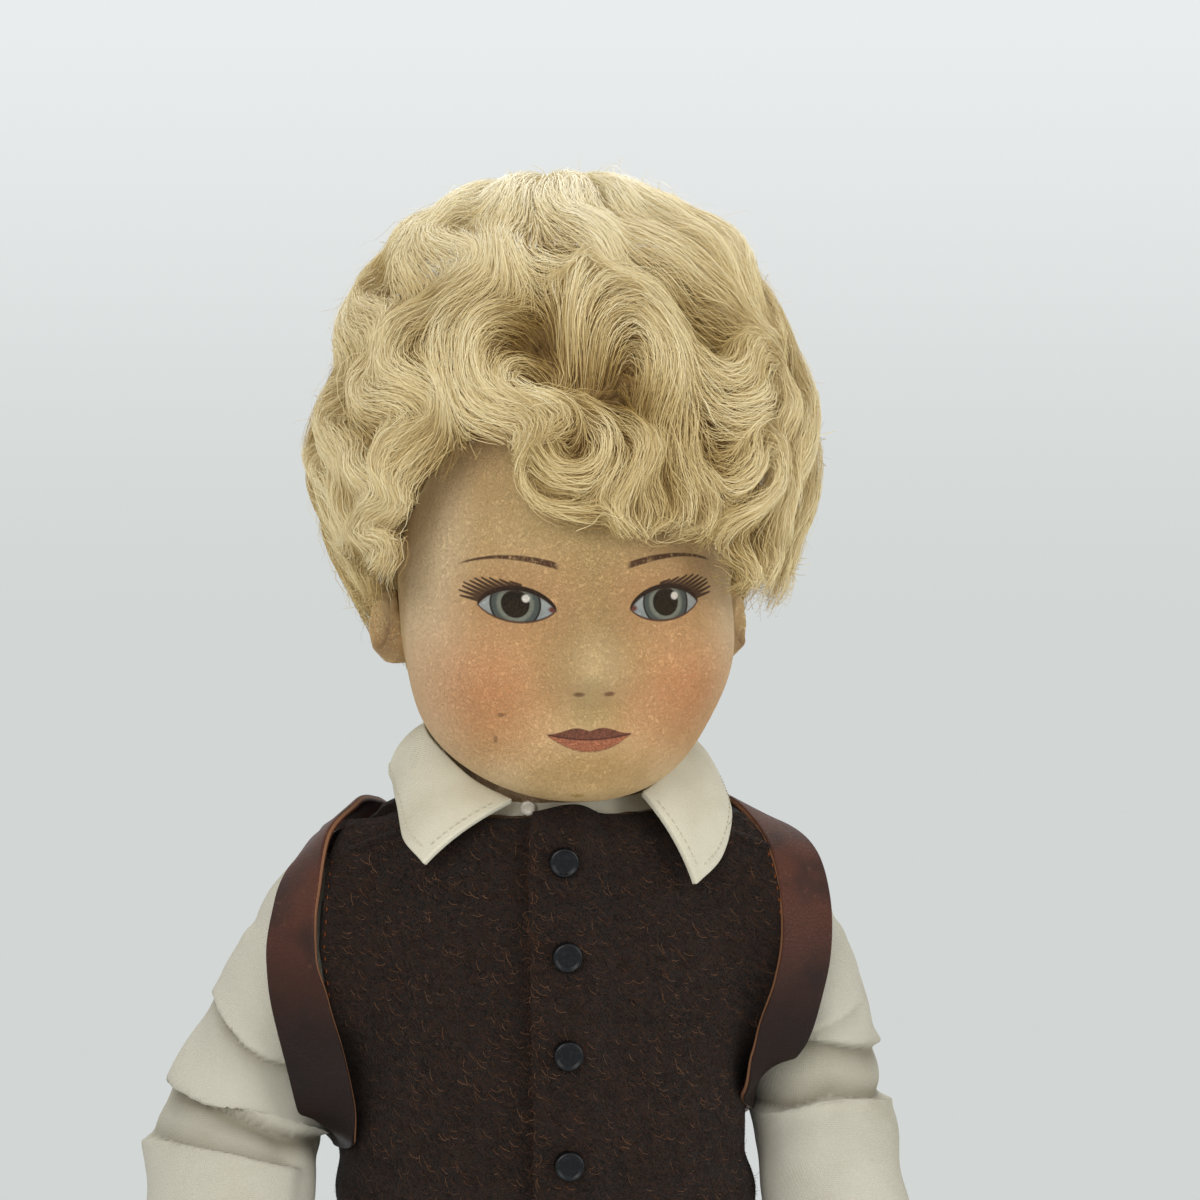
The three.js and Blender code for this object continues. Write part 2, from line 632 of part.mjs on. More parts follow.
function collarLeaf() {
  const start = radians(COLLAR_OPENING_ANGLE);
  const wholeTurn = 2 * Math.PI;
  const angles = steps(start, wholeTurn - start, 22).map((angle) =>
    angle > Math.PI ? angle - wholeTurn : angle,
  );
  const grid = (offset) =>
    angles.map((angle) => {
      const degrees = collarDegrees(angle);
      const fold = collarPoint(angle, along(COLLAR_FOLD, degrees, 1), along(COLLAR_FOLD, degrees, 2));
      const frontness = 1 - smooth(degrees, COLLAR_OPENING_ANGLE, 100);
      const width = COLLAR_BACK_WIDTH + (COLLAR_POINT_LENGTH - COLLAR_BACK_WIDTH) * frontness;
      const slope = radians(along(COLLAR_SLOPE, degrees));
      const sideways = vec(Math.sin(angle), -Math.cos(angle), 0);
      const way = sideways.clone().multiplyScalar(Math.cos(slope)).add(vec(0, 0, -Math.sin(slope)));
      const lift = sideways.clone().multiplyScalar(Math.sin(slope)).add(vec(0, 0, Math.cos(slope)));
      return steps(0, 1, 4).map((share) => {
        const crown = Math.sin(share * Math.PI) * 1.2;
        return fold.clone().addScaledVector(way, share * width).addScaledVector(lift, offset + crown);
      });
    });
  return wall(grid(COLLAR_WALL), grid(0));
}
add("collar_stand", collarStand(), "shirt_cotton");
add("collar_leaf", collarLeaf(), "shirt_cotton");

// Waistcoat: two fronts that overlap and a back, each a sector over the torso

const FLARE_END_Z = WAIST_Z + 9;
const vestFlare = (z) => (BREECHES_WALL + GAP) * (1 - smooth(z, WAIST_Z + GAP, FLARE_END_Z));
const VEST_TOP_Z = NECK_Z - 2.6;

function vestPanel(degrees, lift) {
  const heights = [HEM_Z, WAIST_Z + GAP, ...torsoHeights(FLARE_END_Z, VEST_TOP_Z)];
  const columns = degrees.map(radians);
  const grid = (offset) =>
    heights.map((z) =>
      columns.map((angle) => overTorso(angle, z, VEST_INNER + vestFlare(z) + lift(angle) + offset)),
    );
  const panel = wall(grid(VEST_WALL), grid(0));
  return cut(panel, ...SIDES.map(({ sign }) => armhole(sign, ARMHOLE_RADIUS)));
}

const SEAM_ANGLE = 90;
const SEAM_GAP = 0.6;
const STEP_ANGLE = 9;
const OVERLAP_LIFT = VEST_WALL + GAP;
const overlapLift = (angle) => OVERLAP_LIFT * (1 - smooth(THREE.MathUtils.radToDeg(angle), 2, STEP_ANGLE));
const frontAngles = steps(STEP_ANGLE, SEAM_ANGLE - SEAM_GAP, 7);
const rightAngles = [0, ...frontAngles].map((angle) => -angle);
const leftAngles = [-VEST_OVERLAP_ANGLE, -VEST_OVERLAP_ANGLE / 2, 0, 2, ...frontAngles];
const backAngles = steps(SEAM_ANGLE, 360 - SEAM_ANGLE, 16);
add("vest_right_front", vestPanel(rightAngles, () => 0), "vest_felt");
add("vest_left_front", vestPanel(leftAngles, overlapLift), "vest_felt");
add("vest_back", vestPanel(backAngles, () => 0), "vest_felt");

// Domed button with a dished middle, standing on a surface
function buttonSolid(place, axis, radius, height) {
  const profile = [
    [0, 0],
    [radius * 0.86, 0],
    [radius, height * 0.4],
    [radius * 0.9, height * 0.85],
    [radius * 0.66, height],
    [radius * 0.4, height * 0.82],
    [0, height * 0.74],
  ];
  return turned(profile, place, axis, 10);
}

// Middle line of the lapped front, where the buttons are sewn on
const lappedFront = (z) => overTorso(0, z, VEST_INNER + vestFlare(z) + OVERLAP_LIFT + VEST_WALL);

VEST_BUTTON_DROPS.forEach((drop, index) => {
  const z = NECK_Z - drop;
  const below = lappedFront(z - VEST_BUTTON_RADIUS);
  const above = lappedFront(z + VEST_BUTTON_RADIUS);
  const axis = vec(1, 0, 0).cross(above.clone().sub(below)).normalize();
  const proud = Math.max(0, lappedFront(z).sub(below).dot(axis));
  const foot = below.lerp(above, 0.5).addScaledVector(axis, proud + GAP / 2);
  const button = buttonSolid(foot, axis, VEST_BUTTON_RADIUS, VEST_BUTTON_HEIGHT);
  add(`vest_button_${index + 1}`, button, "button_gloss");
});

// Arms, sleeves and cuffs: a root turned about the shoulder's axis and a limb swept down from it

// Rings round a smooth line through points; radii come from a table of [share, across, deep]
function sweptRings(points, table, stepCount, grow = 0, from = 0, to = 1) {
  const line = new THREE.CatmullRomCurve3(points, false, "centripetal");
  return steps(from, to, stepCount).map((share) => {
    const middle = line.getPoint(share);
    const tangent = line.getTangent(share);
    const across = vec(1, 0, 0).addScaledVector(tangent, -tangent.x).normalize();
    const deep = tangent.clone().cross(across);
    return range(LIMB_SIDES).map((i) => {
      const turn = (i / LIMB_SIDES) * Math.PI * 2;
      const wide = Math.cos(turn) * (along(table, share, 1) + grow);
      const thick = Math.sin(turn) * (along(table, share, 2) + grow);
      return middle.clone().addScaledVector(across, wide).addScaledVector(deep, thick);
    });
  });
}

const WRIST_SHARE = 0.75;
const SLEEVE_END_SHARE = 0.66;

function armLine(name, sign) {
  const spread = radians(ARM_SPREAD[name]);
  const bend = radians(ELBOW_BEND);
  const way = (out, forward, down) => vec(sign * out, -forward, -down);
  const top = shoulderPlace(sign).add(way(ARM_ROOT_LENGTH * 0.78, 0, 0));
  const down = way(Math.sin(spread), 0, Math.cos(spread));
  const fore = way(Math.sin(spread) * 0.3, Math.sin(bend), Math.cos(bend));
  const elbow = top.clone().addScaledVector(down, UPPER_ARM_LENGTH);
  const wrist = elbow.clone().addScaledVector(fore, FOREARM_LENGTH);
  const palm = wrist.clone().addScaledVector(fore, HAND_LENGTH / 2);
  const tip = wrist.clone().addScaledVector(fore, HAND_LENGTH);
  const middle = top.clone().lerp(elbow, 0.5);
  const foreMiddle = elbow.clone().lerp(wrist, 0.5);
  return [top, middle, elbow, foreMiddle, wrist, palm, tip];
}

const ARM_SHAPE = [
  [0, 0.92 * ARM_RADIUS, 0.92 * ARM_RADIUS],
  [0.17, ARM_RADIUS, ARM_RADIUS],
  [0.33, 0.93 * ARM_RADIUS, 0.95 * ARM_RADIUS],
  [0.5, 0.9 * ARM_RADIUS, 0.92 * ARM_RADIUS],
  [0.68, 0.7 * ARM_RADIUS, 0.74 * ARM_RADIUS],
  [0.8, 0.62 * ARM_RADIUS, 1.1 * ARM_RADIUS],
  [0.92, 0.6 * ARM_RADIUS, 1.05 * ARM_RADIUS],
  [1, 0.3 * ARM_RADIUS, 0.6 * ARM_RADIUS],
];

// Main folds of the sleeve: full above the elbow, drawn in at the bend, full again, then gathered
const SLEEVE_SHAPE = [
  [0, 0.88 * SLEEVE_RADIUS, 0.92 * SLEEVE_RADIUS],
  [0.2, 0.94 * SLEEVE_RADIUS, SLEEVE_RADIUS],
  [0.285, SLEEVE_RADIUS, 1.06 * SLEEVE_RADIUS],
  [0.325, 0.88 * SLEEVE_RADIUS, 0.92 * SLEEVE_RADIUS],
  [0.365, 1.04 * SLEEVE_RADIUS, 1.12 * SLEEVE_RADIUS],
  [0.5, 1.03 * SLEEVE_RADIUS, 1.1 * SLEEVE_RADIUS],
  [0.6, 0.93 * SLEEVE_RADIUS, SLEEVE_RADIUS],
  [SLEEVE_END_SHARE, 0.76 * SLEEVE_RADIUS, 0.8 * SLEEVE_RADIUS],
];

function armRoot(sign, radius, from, length) {
  const profile = [
    [0, from],
    [radius, from],
    [radius, length * 0.45],
    [radius * 0.94, length * 0.72],
    [radius * 0.72, length * 0.95],
    [radius * 0.35, length * 1.1],
    [0, length * 1.14],
  ];
  return turned(profile, shoulderPlace(sign), vec(sign, 0, 0));
}

function arm(name, sign) {
  const limb = skin(sweptRings(armLine(name, sign), ARM_SHAPE, 15));
  const line = new THREE.CatmullRomCurve3(armLine(name, sign), false, "centripetal");
  const base = line.getPoint(WRIST_SHARE + 0.05);
  const reach = line.getTangent(WRIST_SHARE).multiplyScalar(HAND_LENGTH * 0.45).add(vec(-sign * 6, -9, 5));
  const thumbPoints = [base, base.clone().addScaledVector(reach, 0.5), base.clone().add(reach)];
  const thumbShape = [[0, 3.2, 3.6], [0.6, 3, 3.4], [1, 1.6, 1.8]];
  const thumb = skin(sweptRings(thumbPoints, thumbShape, 6));
  const root = armRoot(sign, ARM_ROOT_RADIUS, GAP / 2, ARM_ROOT_LENGTH);
  return cut(joined(root, limb, thumb), pockets[`shoulder_${name}`].limb);
}

function sleeve(name, sign) {
  const line = armLine(name, sign);
  const rootRadius = ARMHOLE_RADIUS - TURNING_GAP;
  const rootLength = ARM_ROOT_LENGTH + SLEEVE_RADIUS * 0.5;
  const outerLimb = skin(sweptRings(line, SLEEVE_SHAPE, 12, 0, 0, SLEEVE_END_SHARE));
  const innerLimb = skin(sweptRings(line, SLEEVE_SHAPE, 12, -SLEEVE_WALL, 0, SLEEVE_END_SHARE + 0.03));
  const outer = joined(armRoot(sign, rootRadius, GAP * 2, rootLength), outerLimb);
  const innerRoot = armRoot(sign, rootRadius - SLEEVE_WALL, -GAP, rootLength - SLEEVE_WALL);
  return cut(outer, joined(innerRoot, innerLimb));
}

function cuff(name, sign) {
  const share = CUFF_LENGTH / (UPPER_ARM_LENGTH + FOREARM_LENGTH + HAND_LENGTH);
  const from = SLEEVE_END_SHARE + 0.012;
  const rings = (grow) => sweptRings(armLine(name, sign), ARM_SHAPE, 4, grow, from, from + share * 0.85);
  return wall(rings(GAP + 0.6 + CUFF_WALL), rings(GAP + 0.6), true);
}

function cuffButton(name, sign) {
  const line = new THREE.CatmullRomCurve3(armLine(name, sign), false, "centripetal");
  const share = SLEEVE_END_SHARE + 0.05;
  const middle = line.getPoint(share);
  const tangent = line.getTangent(share);
  const outwardAxis = vec(sign, 0, 0).addScaledVector(tangent, -sign * tangent.x).normalize();
  const reach = along(ARM_SHAPE, share, 1) + GAP + 0.6 + CUFF_WALL + GAP / 2;
  return buttonSolid(middle.addScaledVector(outwardAxis, reach), outwardAxis, CUFF_BUTTON_RADIUS, 1.6);
}

for (const { name, sign } of SIDES) {
  add(`arm_${name}`, arm(name, sign), "skin_felt");
  add(`sleeve_${name}`, sleeve(name, sign), "shirt_cotton");
  add(`cuff_${name}`, cuff(name, sign), "shirt_cotton");
  add(`cuff_button_${name}`, cuffButton(name, sign), "shell_button");
}

// Shirt button on the collar stand, seen through the opening of the leaf
function shirtButton() {
  const angle = radians(-14);
  const foot = standPoint(angle, 0.6, COLLAR_WALL + GAP / 2);
  const axis = vec(Math.sin(angle), -Math.cos(angle), 0);
  return buttonSolid(foot, axis, SHIRT_BUTTON_RADIUS * 0.6, 1);
}
add("shirt_button", shirtButton(), "shell_button");

// Legs: a root turned about the hip's axis, a limb and a foot

const legLine = (sign) =>
  [HIP_HEIGHT, KNEE_HEIGHT + 40, KNEE_HEIGHT, KNEE_HEIGHT - 38, SOLE_THICKNESS + 20].map((z) =>
    vec(sign * LEG_CENTRE_X, 0, z),
  );
const LEG_SHAPE = [
  [0, THIGH_HALF_WIDTH, LEG_ROOT_RADIUS * 0.96],
  [0.25, THIGH_HALF_WIDTH, LEG_ROOT_RADIUS * 0.86],
  [0.5, 0.93 * THIGH_HALF_WIDTH, 1.08 * CALF_RADIUS],
  [0.7, 0.98 * CALF_RADIUS, 1.1 * CALF_RADIUS],
  [1, ANKLE_RADIUS, 1.05 * ANKLE_RADIUS],
];

function legRoot(sign, radius, from, to) {
  const profile = [
    [0, from],
    [radius, from],
    [radius, from + (to - from) * 0.6],
    [radius * 0.9, from + (to - from) * 0.85],
    [radius * 0.6, to],
    [0, to],
  ];
  return turned(profile, vec(0, 0, HIP_HEIGHT), vec(sign, 0, 0), 16);
}

// Foot of a shoe's inside shape: shares of its length from heel to toe, of half width, and its height
const FOOT_SHAPE = [
  [0, 0.4, 0.5],
  [0.1, 0.78, 0.92],
  [0.3, 0.84, 1],
  [0.5, 0.88, 0.9],
  [0.72, 1, 0.66],
  [0.9, 0.84, 0.5],
  [1, 0.4, 0.3],
];
const FOOT_HEIGHT = 21;

function footForm(sign, grow) {
  const heel = SHOE_HEEL_REACH - SHOE_WALL - GAP - SOLE_WELT;
  const length = SHOE_LENGTH - 2 * (SHOE_WALL + GAP + SOLE_WELT);
  const halfWidth = SHOE_WIDTH / 2 - SHOE_WALL - GAP - SOLE_WELT;
  const floor = SOLE_THICKNESS + GAP * 2 + SHOE_WALL;
  const rings = steps(0, 1, 9).map((share) => {
    const y = heel + grow - (length + 2 * grow) * share;
    const wide = halfWidth * along(FOOT_SHAPE, share, 1) + grow;
    const high = FOOT_HEIGHT * along(FOOT_SHAPE, share, 2) + 2 * grow;
    return range(LIMB_SIDES).map((i) => {
      const turn = (i / LIMB_SIDES) * Math.PI * 2;
      const x = Math.cos(turn) * wide;
      const rise = Math.sin(turn);
      const flat = rise < 0 ? -(Math.abs(rise) ** 0.45) : rise;
      return vec(sign * LEG_CENTRE_X + x, y, floor - grow + (high / 2) * (1 + flat));
    });
  });
  return skin(rings);
}

function leg(name, sign) {
  const inside = KEEL_HALF_WIDTH + GAP / 2;
  const root = legRoot(sign, LEG_ROOT_RADIUS, inside, LEG_CENTRE_X + THIGH_HALF_WIDTH);
  const limb = skin(sweptRings(legLine(sign), LEG_SHAPE, 8));
  return cut(joined(root, limb, footForm(sign, 0)), pockets[`hip_${name}`].limb);
}

function breechesLeg(sign) {
  const knee = 0.5 + 0.06;
  const ease = GAP + STOCKING_WALL + GAP + 0.3;
  const inside = KEEL_HALF_WIDTH + TURNING_GAP;
  const outside = LEG_CENTRE_X + THIGH_HALF_WIDTH;
  const outerRoot = legRoot(sign, BREECHES_ROOT_RADIUS, inside, outside + ease + BREECHES_WALL);
  const innerRoot = legRoot(sign, LEG_ROOT_RADIUS + GAP, inside - 2, outside + ease);
  const outerLimb = skin(sweptRings(legLine(sign), LEG_SHAPE, 6, ease + BREECHES_WALL, 0.02, knee));
  const innerLimb = skin(sweptRings(legLine(sign), LEG_SHAPE, 6, ease, 0, knee + 0.02));
  const keelSide = [sign * (KEEL_HALF_WIDTH + TURNING_GAP), -sign * 40].sort((a, b) => a - b);
  const keel = box(vec(keelSide[0], -60, 0), vec(keelSide[1], 60, HIP_HEIGHT + 60));
  return cut(joined(outerRoot, outerLimb), joined(innerRoot, innerLimb), keel);
}

function stocking(sign) {
  const from = 0.5 - STOCKING_TUCK / (HIP_HEIGHT - SOLE_THICKNESS - 20) + 0.02;
  const rings = (grow) => sweptRings(legLine(sign), LEG_SHAPE, 6, grow, from, 0.955);
  return wall(rings(GAP + STOCKING_WALL), rings(GAP), true);
}

function shoeUpper(sign) {
  const collarRings = (grow) =>
    [SOLE_THICKNESS + 12, SHOE_COLLAR_HEIGHT].map((z) =>
      range(LIMB_SIDES).map((i) => {
        const turn = (i / LIMB_SIDES) * Math.PI * 2;
        const radius = ANKLE_RADIUS + GAP + STOCKING_WALL + GAP + 0.8 + grow;
        return vec(sign * LEG_CENTRE_X + Math.cos(turn) * radius, Math.sin(turn) * radius * 1.08, z);
      }),
    );
  const outer = joined(footForm(sign, GAP + SHOE_WALL), skin(collarRings(SHOE_WALL)));
  const bore = skin(collarRings(0)).translate(0, 0, 1);
  return cut(outer, footForm(sign, GAP), bore);
}

function shoeSole(sign) {
  const outline = new THREE.Shape();
  const half = SHOE_WIDTH / 2;
  const heel = SHOE_HEEL_REACH;
  const toe = SHOE_HEEL_REACH - SHOE_LENGTH;
  outline.moveTo(0, heel);
  outline.bezierCurveTo(half * 0.9, heel, half * 0.95, heel - 12, half * 0.86, heel - 22);
  outline.bezierCurveTo(half * 0.84, heel - 30, half, toe + 24, half, toe + 17);
  outline.bezierCurveTo(half, toe + 6, half * 0.6, toe, 0, toe);
  outline.bezierCurveTo(-half * 0.6, toe, -half, toe + 6, -half, toe + 17);
  outline.bezierCurveTo(-half, toe + 24, -half * 0.84, heel - 30, -half * 0.86, heel - 22);
  outline.bezierCurveTo(-half * 0.95, heel - 12, -half * 0.9, heel, 0, heel);
  const settings = { depth: SOLE_THICKNESS, bevelEnabled: false, curveSegments: 6 };
  const sole = new THREE.ExtrudeGeometry(outline, settings);
  return welded(sole.translate(sign * LEG_CENTRE_X, 0, 0));
}

for (const { name, sign } of SIDES) {
  add(`leg_${name}`, leg(name, sign), "skin_felt");
  add(`breeches_${name}`, breechesLeg(sign), "breeches_felt");
  add(`stocking_${name}`, stocking(sign), "stocking_knit");
  add(`shoe_upper_${name}`, shoeUpper(sign), "shoe_leather");
  add(`shoe_sole_${name}`, shoeSole(sign), "sole_leather");
}

// Breeches seat: tube over the hips, open where the legs swing
function breechesSeat() {
  const seat = torsoTube(TORSO_BOTTOM_Z + 4, WAIST_Z, () => VEST_INNER, BREECHES_WALL);
  return cut(seat, ...SIDES.map(({ sign }) => legRoom(sign)));
}
add("breeches_seat", breechesSeat(), "breeches_felt");

// Satchel on the back, its flap, tab and stud

const SATCHEL_TOP_Z = NECK_Z - SATCHEL_DROP;
const SATCHEL_BOTTOM_Z = SATCHEL_TOP_Z - SATCHEL_HEIGHT;
const VEST_BACK_Y = Math.max(
  ...steps(SATCHEL_BOTTOM_Z, SATCHEL_TOP_Z, 12).map(
    (z) => overTorso(Math.PI, z, VEST_INNER + vestFlare(z) + VEST_WALL).y,
  ),
);
const SATCHEL_FRONT_Y = VEST_BACK_Y + GAP;

// Panel in X and Z with rounded lower corners, extruded along Y
function satchelPanel(halfWidth, low, high, corner, from, to) {
  const outline = new THREE.Shape();
  outline.moveTo(halfWidth, high);
  outline.lineTo(-halfWidth, high);
  outline.lineTo(-halfWidth, low + corner);
  outline.absarc(-halfWidth + corner, low + corner, corner, Math.PI, 1.5 * Math.PI, false);
  outline.lineTo(halfWidth - corner, low);
  outline.absarc(halfWidth - corner, low + corner, corner, 1.5 * Math.PI, 2 * Math.PI, false);
  const settings = { depth: to - from, bevelEnabled: false, curveSegments: 4 };
  const panel = new THREE.ExtrudeGeometry(outline, settings);
  return welded(panel.rotateX(Math.PI / 2).translate(0, to, 0));
}

// Bag open at the top, or the block that fills it, inset by a distance
function satchelBlock(inset, topInset) {
  const half = SATCHEL_WIDTH / 2 - inset;
  const [low, high] = [SATCHEL_BOTTOM_Z + inset, SATCHEL_TOP_Z - topInset];
  const [front, back] = [SATCHEL_FRONT_Y + inset, SATCHEL_FRONT_Y + SATCHEL_DEPTH - inset];
  return satchelPanel(half, low, high, SATCHEL_CORNER - inset, front, back);
}
const satchelBody = () => cut(satchelBlock(0, 0), satchelBlock(SATCHEL_WALL, -SATCHEL_WALL));
const satchelFilling = () => satchelBlock(SATCHEL_WALL + GAP, GAP);

function satchelFlap() {
  const half = SATCHEL_WIDTH / 2;
  const near = SATCHEL_FRONT_Y + SATCHEL_DEPTH + GAP;
  const low = SATCHEL_TOP_Z - SATCHEL_HEIGHT * FLAP_COVER;
  const top = SATCHEL_TOP_Z + GAP + SATCHEL_WALL;
  const front = satchelPanel(half, low, top, SATCHEL_CORNER, near, near + SATCHEL_WALL);
  const lid = box(vec(-half, SATCHEL_FRONT_Y, SATCHEL_TOP_Z + GAP), vec(half, near + SATCHEL_WALL / 2, top));
  return joined(front, lid);
}

const FLAP_FACE_Y = SATCHEL_FRONT_Y + SATCHEL_DEPTH + GAP + SATCHEL_WALL;
const TAB_TOP_Z = SATCHEL_TOP_Z - SATCHEL_HEIGHT * FLAP_COVER + 16;

function satchelTab() {
  const low = vec(-TAB_WIDTH / 2, FLAP_FACE_Y + GAP / 2, TAB_TOP_Z - 26);
  return box(low, vec(TAB_WIDTH / 2, low.y + SATCHEL_WALL, TAB_TOP_Z));
}

function satchelStud() {
  const foot = vec(0, FLAP_FACE_Y + SATCHEL_WALL + GAP, TAB_TOP_Z - 20);
  return buttonSolid(foot, vec(0, 1, 0), 3, 2);
}
add("satchel_body", satchelBody(), "strap_leather");
add("satchel_filling", satchelFilling(), "filling");
add("satchel_flap", satchelFlap(), "strap_leather");
add("satchel_tab", satchelTab(), "strap_leather");
add("satchel_stud", satchelStud(), "stud_brass");

// Shoulder strap: flat leather band from the satchel's top over the shoulder, down in front of the
// sleeve, back under the arm and down to the satchel's lower corner. Rows are the band's middle on the
// right side, measured from the shoulder joint, and its twist about its own length.

function strapRows() {
  const topY = SATCHEL_FRONT_Y + 3;
  const lowZ = SATCHEL_BOTTOM_Z + 8 - SHOULDER_Z;
  const edge = SATCHEL_WIDTH / 2 + GAP + STRAP_THICKNESS / 2 - ARM_FACE_X;
  return [
    [13, topY, 8, 0],
    [4.5, 27, 16, 8],
    [-2.5, 13, 25.4, 26],
    [-5.5, -2, 25, 34],
    [-11.5, -14, 15.5, 20],
    [-15, -20.5, 2, 6],
    [-14.8, -22, -12, 0],
    [-12, -21.5, -25, 4],
    [-8.4, -17.5, -34.5, 42],
    [-6.4, -9, -38.5, 82],
    [-6.1, 4, -40.5, 90],
    [-4.6, 17, -42.5, 90],
    [-edge, SATCHEL_FRONT_Y + 6, lowZ, 90],
  ];
}

function strap() {
  const rows = strapRows();
  const points = rows.map(([x, y, z]) => vec(x - ARM_FACE_X, y, z + SHOULDER_Z));
  const line = new THREE.CatmullRomCurve3(points, false, "centripetal");
  const twist = rows.map((row, i) => [i / (rows.length - 1), row[3]]);
  const rings = steps(0, 1, 34).map((share) => {
    const middle = line.getPoint(share);
    const tangent = line.getTangent(share);
    const level = vec(1, 0, 0).addScaledVector(tangent, -tangent.x).normalize();
    const square = tangent.clone().cross(level);
    const turn = radians(along(twist, share));
    const across = level.clone().multiplyScalar(Math.cos(turn)).addScaledVector(square, Math.sin(turn));
    const through = tangent.clone().cross(across);
    across.multiplyScalar(STRAP_WIDTH / 2);
    through.multiplyScalar(STRAP_THICKNESS / 2);
    const corner = (a, b) => middle.clone().addScaledVector(across, a).addScaledVector(through, b);
    return [corner(1, 1), corner(-1, 1), corner(-1, -1), corner(1, -1)];
  });
  return skin(rings);
}
const rightStrap = strap();
add("strap_right", rightStrap, "strap_leather");
add("strap_left", mirrored(rightStrap), "strap_leather");

// The model stands with the middle of its box over the origin
const bounds = new THREE.Box3().setFromObject(group);
const centre = bounds.getCenter(vec(0, 0, 0));
group.position.set(-centre.x, -centre.y, -bounds.min.z);
console.log("origin moved by", group.position.toArray().map((value) => value.toFixed(3)).join(" "));

export default group;
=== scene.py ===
import math
from contextlib import contextmanager
import bpy
import numpy as np
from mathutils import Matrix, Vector


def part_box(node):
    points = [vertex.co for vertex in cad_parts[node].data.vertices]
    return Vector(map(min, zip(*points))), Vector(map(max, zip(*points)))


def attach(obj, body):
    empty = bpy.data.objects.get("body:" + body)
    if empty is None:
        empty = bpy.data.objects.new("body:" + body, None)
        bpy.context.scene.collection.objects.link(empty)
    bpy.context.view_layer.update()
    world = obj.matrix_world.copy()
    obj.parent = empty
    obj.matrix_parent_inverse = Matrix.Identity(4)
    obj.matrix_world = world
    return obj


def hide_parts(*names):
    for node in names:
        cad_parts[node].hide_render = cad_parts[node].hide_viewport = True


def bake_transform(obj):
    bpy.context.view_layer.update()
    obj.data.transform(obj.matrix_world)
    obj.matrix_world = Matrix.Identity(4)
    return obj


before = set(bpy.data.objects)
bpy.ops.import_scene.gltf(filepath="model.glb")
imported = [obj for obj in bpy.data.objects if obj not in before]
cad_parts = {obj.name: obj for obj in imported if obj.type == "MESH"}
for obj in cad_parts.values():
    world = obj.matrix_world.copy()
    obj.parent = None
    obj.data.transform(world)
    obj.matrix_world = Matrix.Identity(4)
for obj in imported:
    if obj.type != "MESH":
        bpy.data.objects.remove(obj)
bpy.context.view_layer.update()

# Studio: the camera stands where the photograph was taken, a little to the doll's right and above
# its chin. A pale floor takes the shadow. Large soft lamps stand in front on either side and behind.
SHIFT = np.array([2.608, -1.362, 0.0])


def in_frame(points):
    """Metres in the shared frame, from millimetres about the doll's middle."""
    return (np.asarray(points, float) + SHIFT) / 1000.0


scene = bpy.context.scene
scene.view_settings.view_transform = "Standard"
eye, aim = in_frame([-92.97, -787.35, 429.07]), in_frame([4.556, -46.6, 363.7])
camera = bpy.data.objects.new("camera", bpy.data.cameras.new("camera"))
camera.data.lens = 121.24
camera.data.sensor_width = 36.0
camera.data.clip_start = 0.05
camera.location = eye
camera.rotation_euler = Vector(aim - eye).to_track_quat("-Z", "Y").to_euler()
scene.collection.objects.link(camera)
scene.camera = camera


class Dye:
    """A value, colour or vector of a finish. Arithmetic on it adds the nodes that work it out."""

    def __init__(self, tree, socket=None):
        self.tree, self.socket = tree, socket

    def node(self, kind, sockets, output=0, stops=None, **settings):
        made = self.tree.nodes.new("ShaderNode" + kind)
        for name, value in settings.items():
            setattr(made, name, value)
        if stops:
            band = made.color_ramp.elements
            while len(band) < len(stops):
                band.new(1.0)
            for element, (position, code) in zip(band, stops):
                element.position, element.color = position, hue(code)
        for name, value in sockets.items():
            if isinstance(value, Dye):
                self.tree.links.new(value.socket, made.inputs[name])
            else:
                made.inputs[name].default_value = value
        return Dye(self.tree, made.outputs[output])

    def math(self, operation, *others):
        return self.node("Math", dict(enumerate((self, *others))), operation=operation)

    def part(self, axis):
        return self.node("SeparateXYZ", {0: self}, axis)

    def __add__(self, other):
        return self.math("ADD", other)

    __radd__ = __add__

    def __sub__(self, other):
        return self.math("SUBTRACT", other)

    def __rsub__(self, other):
        return self.node("Math", {0: other, 1: self}, operation="SUBTRACT")

    def __mul__(self, other):
        return self.math("MULTIPLY", other)

    __rmul__ = __mul__

    def __truediv__(self, other):
        return self.math("DIVIDE", other)

    def __pow__(self, other):
        return self.math("POWER", other)

    def __abs__(self):
        return self.math("ABSOLUTE")


def hue(code):
    """Linear colour of a hex code such as e6bfa2."""
    parts = [int(code[i:i + 2], 16) / 255 for i in (0, 2, 4)]
    return tuple(p / 12.92 if p <= 0.04045 else ((p + 0.055) / 1.055) ** 2.4 for p in parts) + (1.0,)


def eased(value, low, high):
    """0 below low, 1 above high, smooth between; turned round where low is over high."""
    sockets = {"Value": value, "From Min": low, "From Max": high}
    return value.node("MapRange", sockets, interpolation_type="SMOOTHSTEP")


def painted(under, over, mask):
    """One colour over another where the mask is 1. A colour is a dye or a hex code."""
    under, over = (hue(colour) if isinstance(colour, str) else colour for colour in (under, over))
    return mask.node("Mix", {0: mask, 6: under, 7: over}, 2, data_type="RGBA")


def new_finish(name):
    """A material, its shader, and the place on the piece in metres."""
    material = bpy.data.materials.new(name)
    material.use_nodes = True
    place = Dye(material.node_tree).node("TexCoord", {}, "Object")
    return material, material.node_tree.nodes["Principled BSDF"], place


def set_sockets(shader, **values):
    """Gives each socket a number or a dye; a socket's name has _ for a space."""
    for name, value in values.items():
        socket = shader.inputs[name.replace("_", " ")]
        if isinstance(value, Dye):
            value.tree.links.new(value.socket, socket)
        else:
            socket.default_value = value


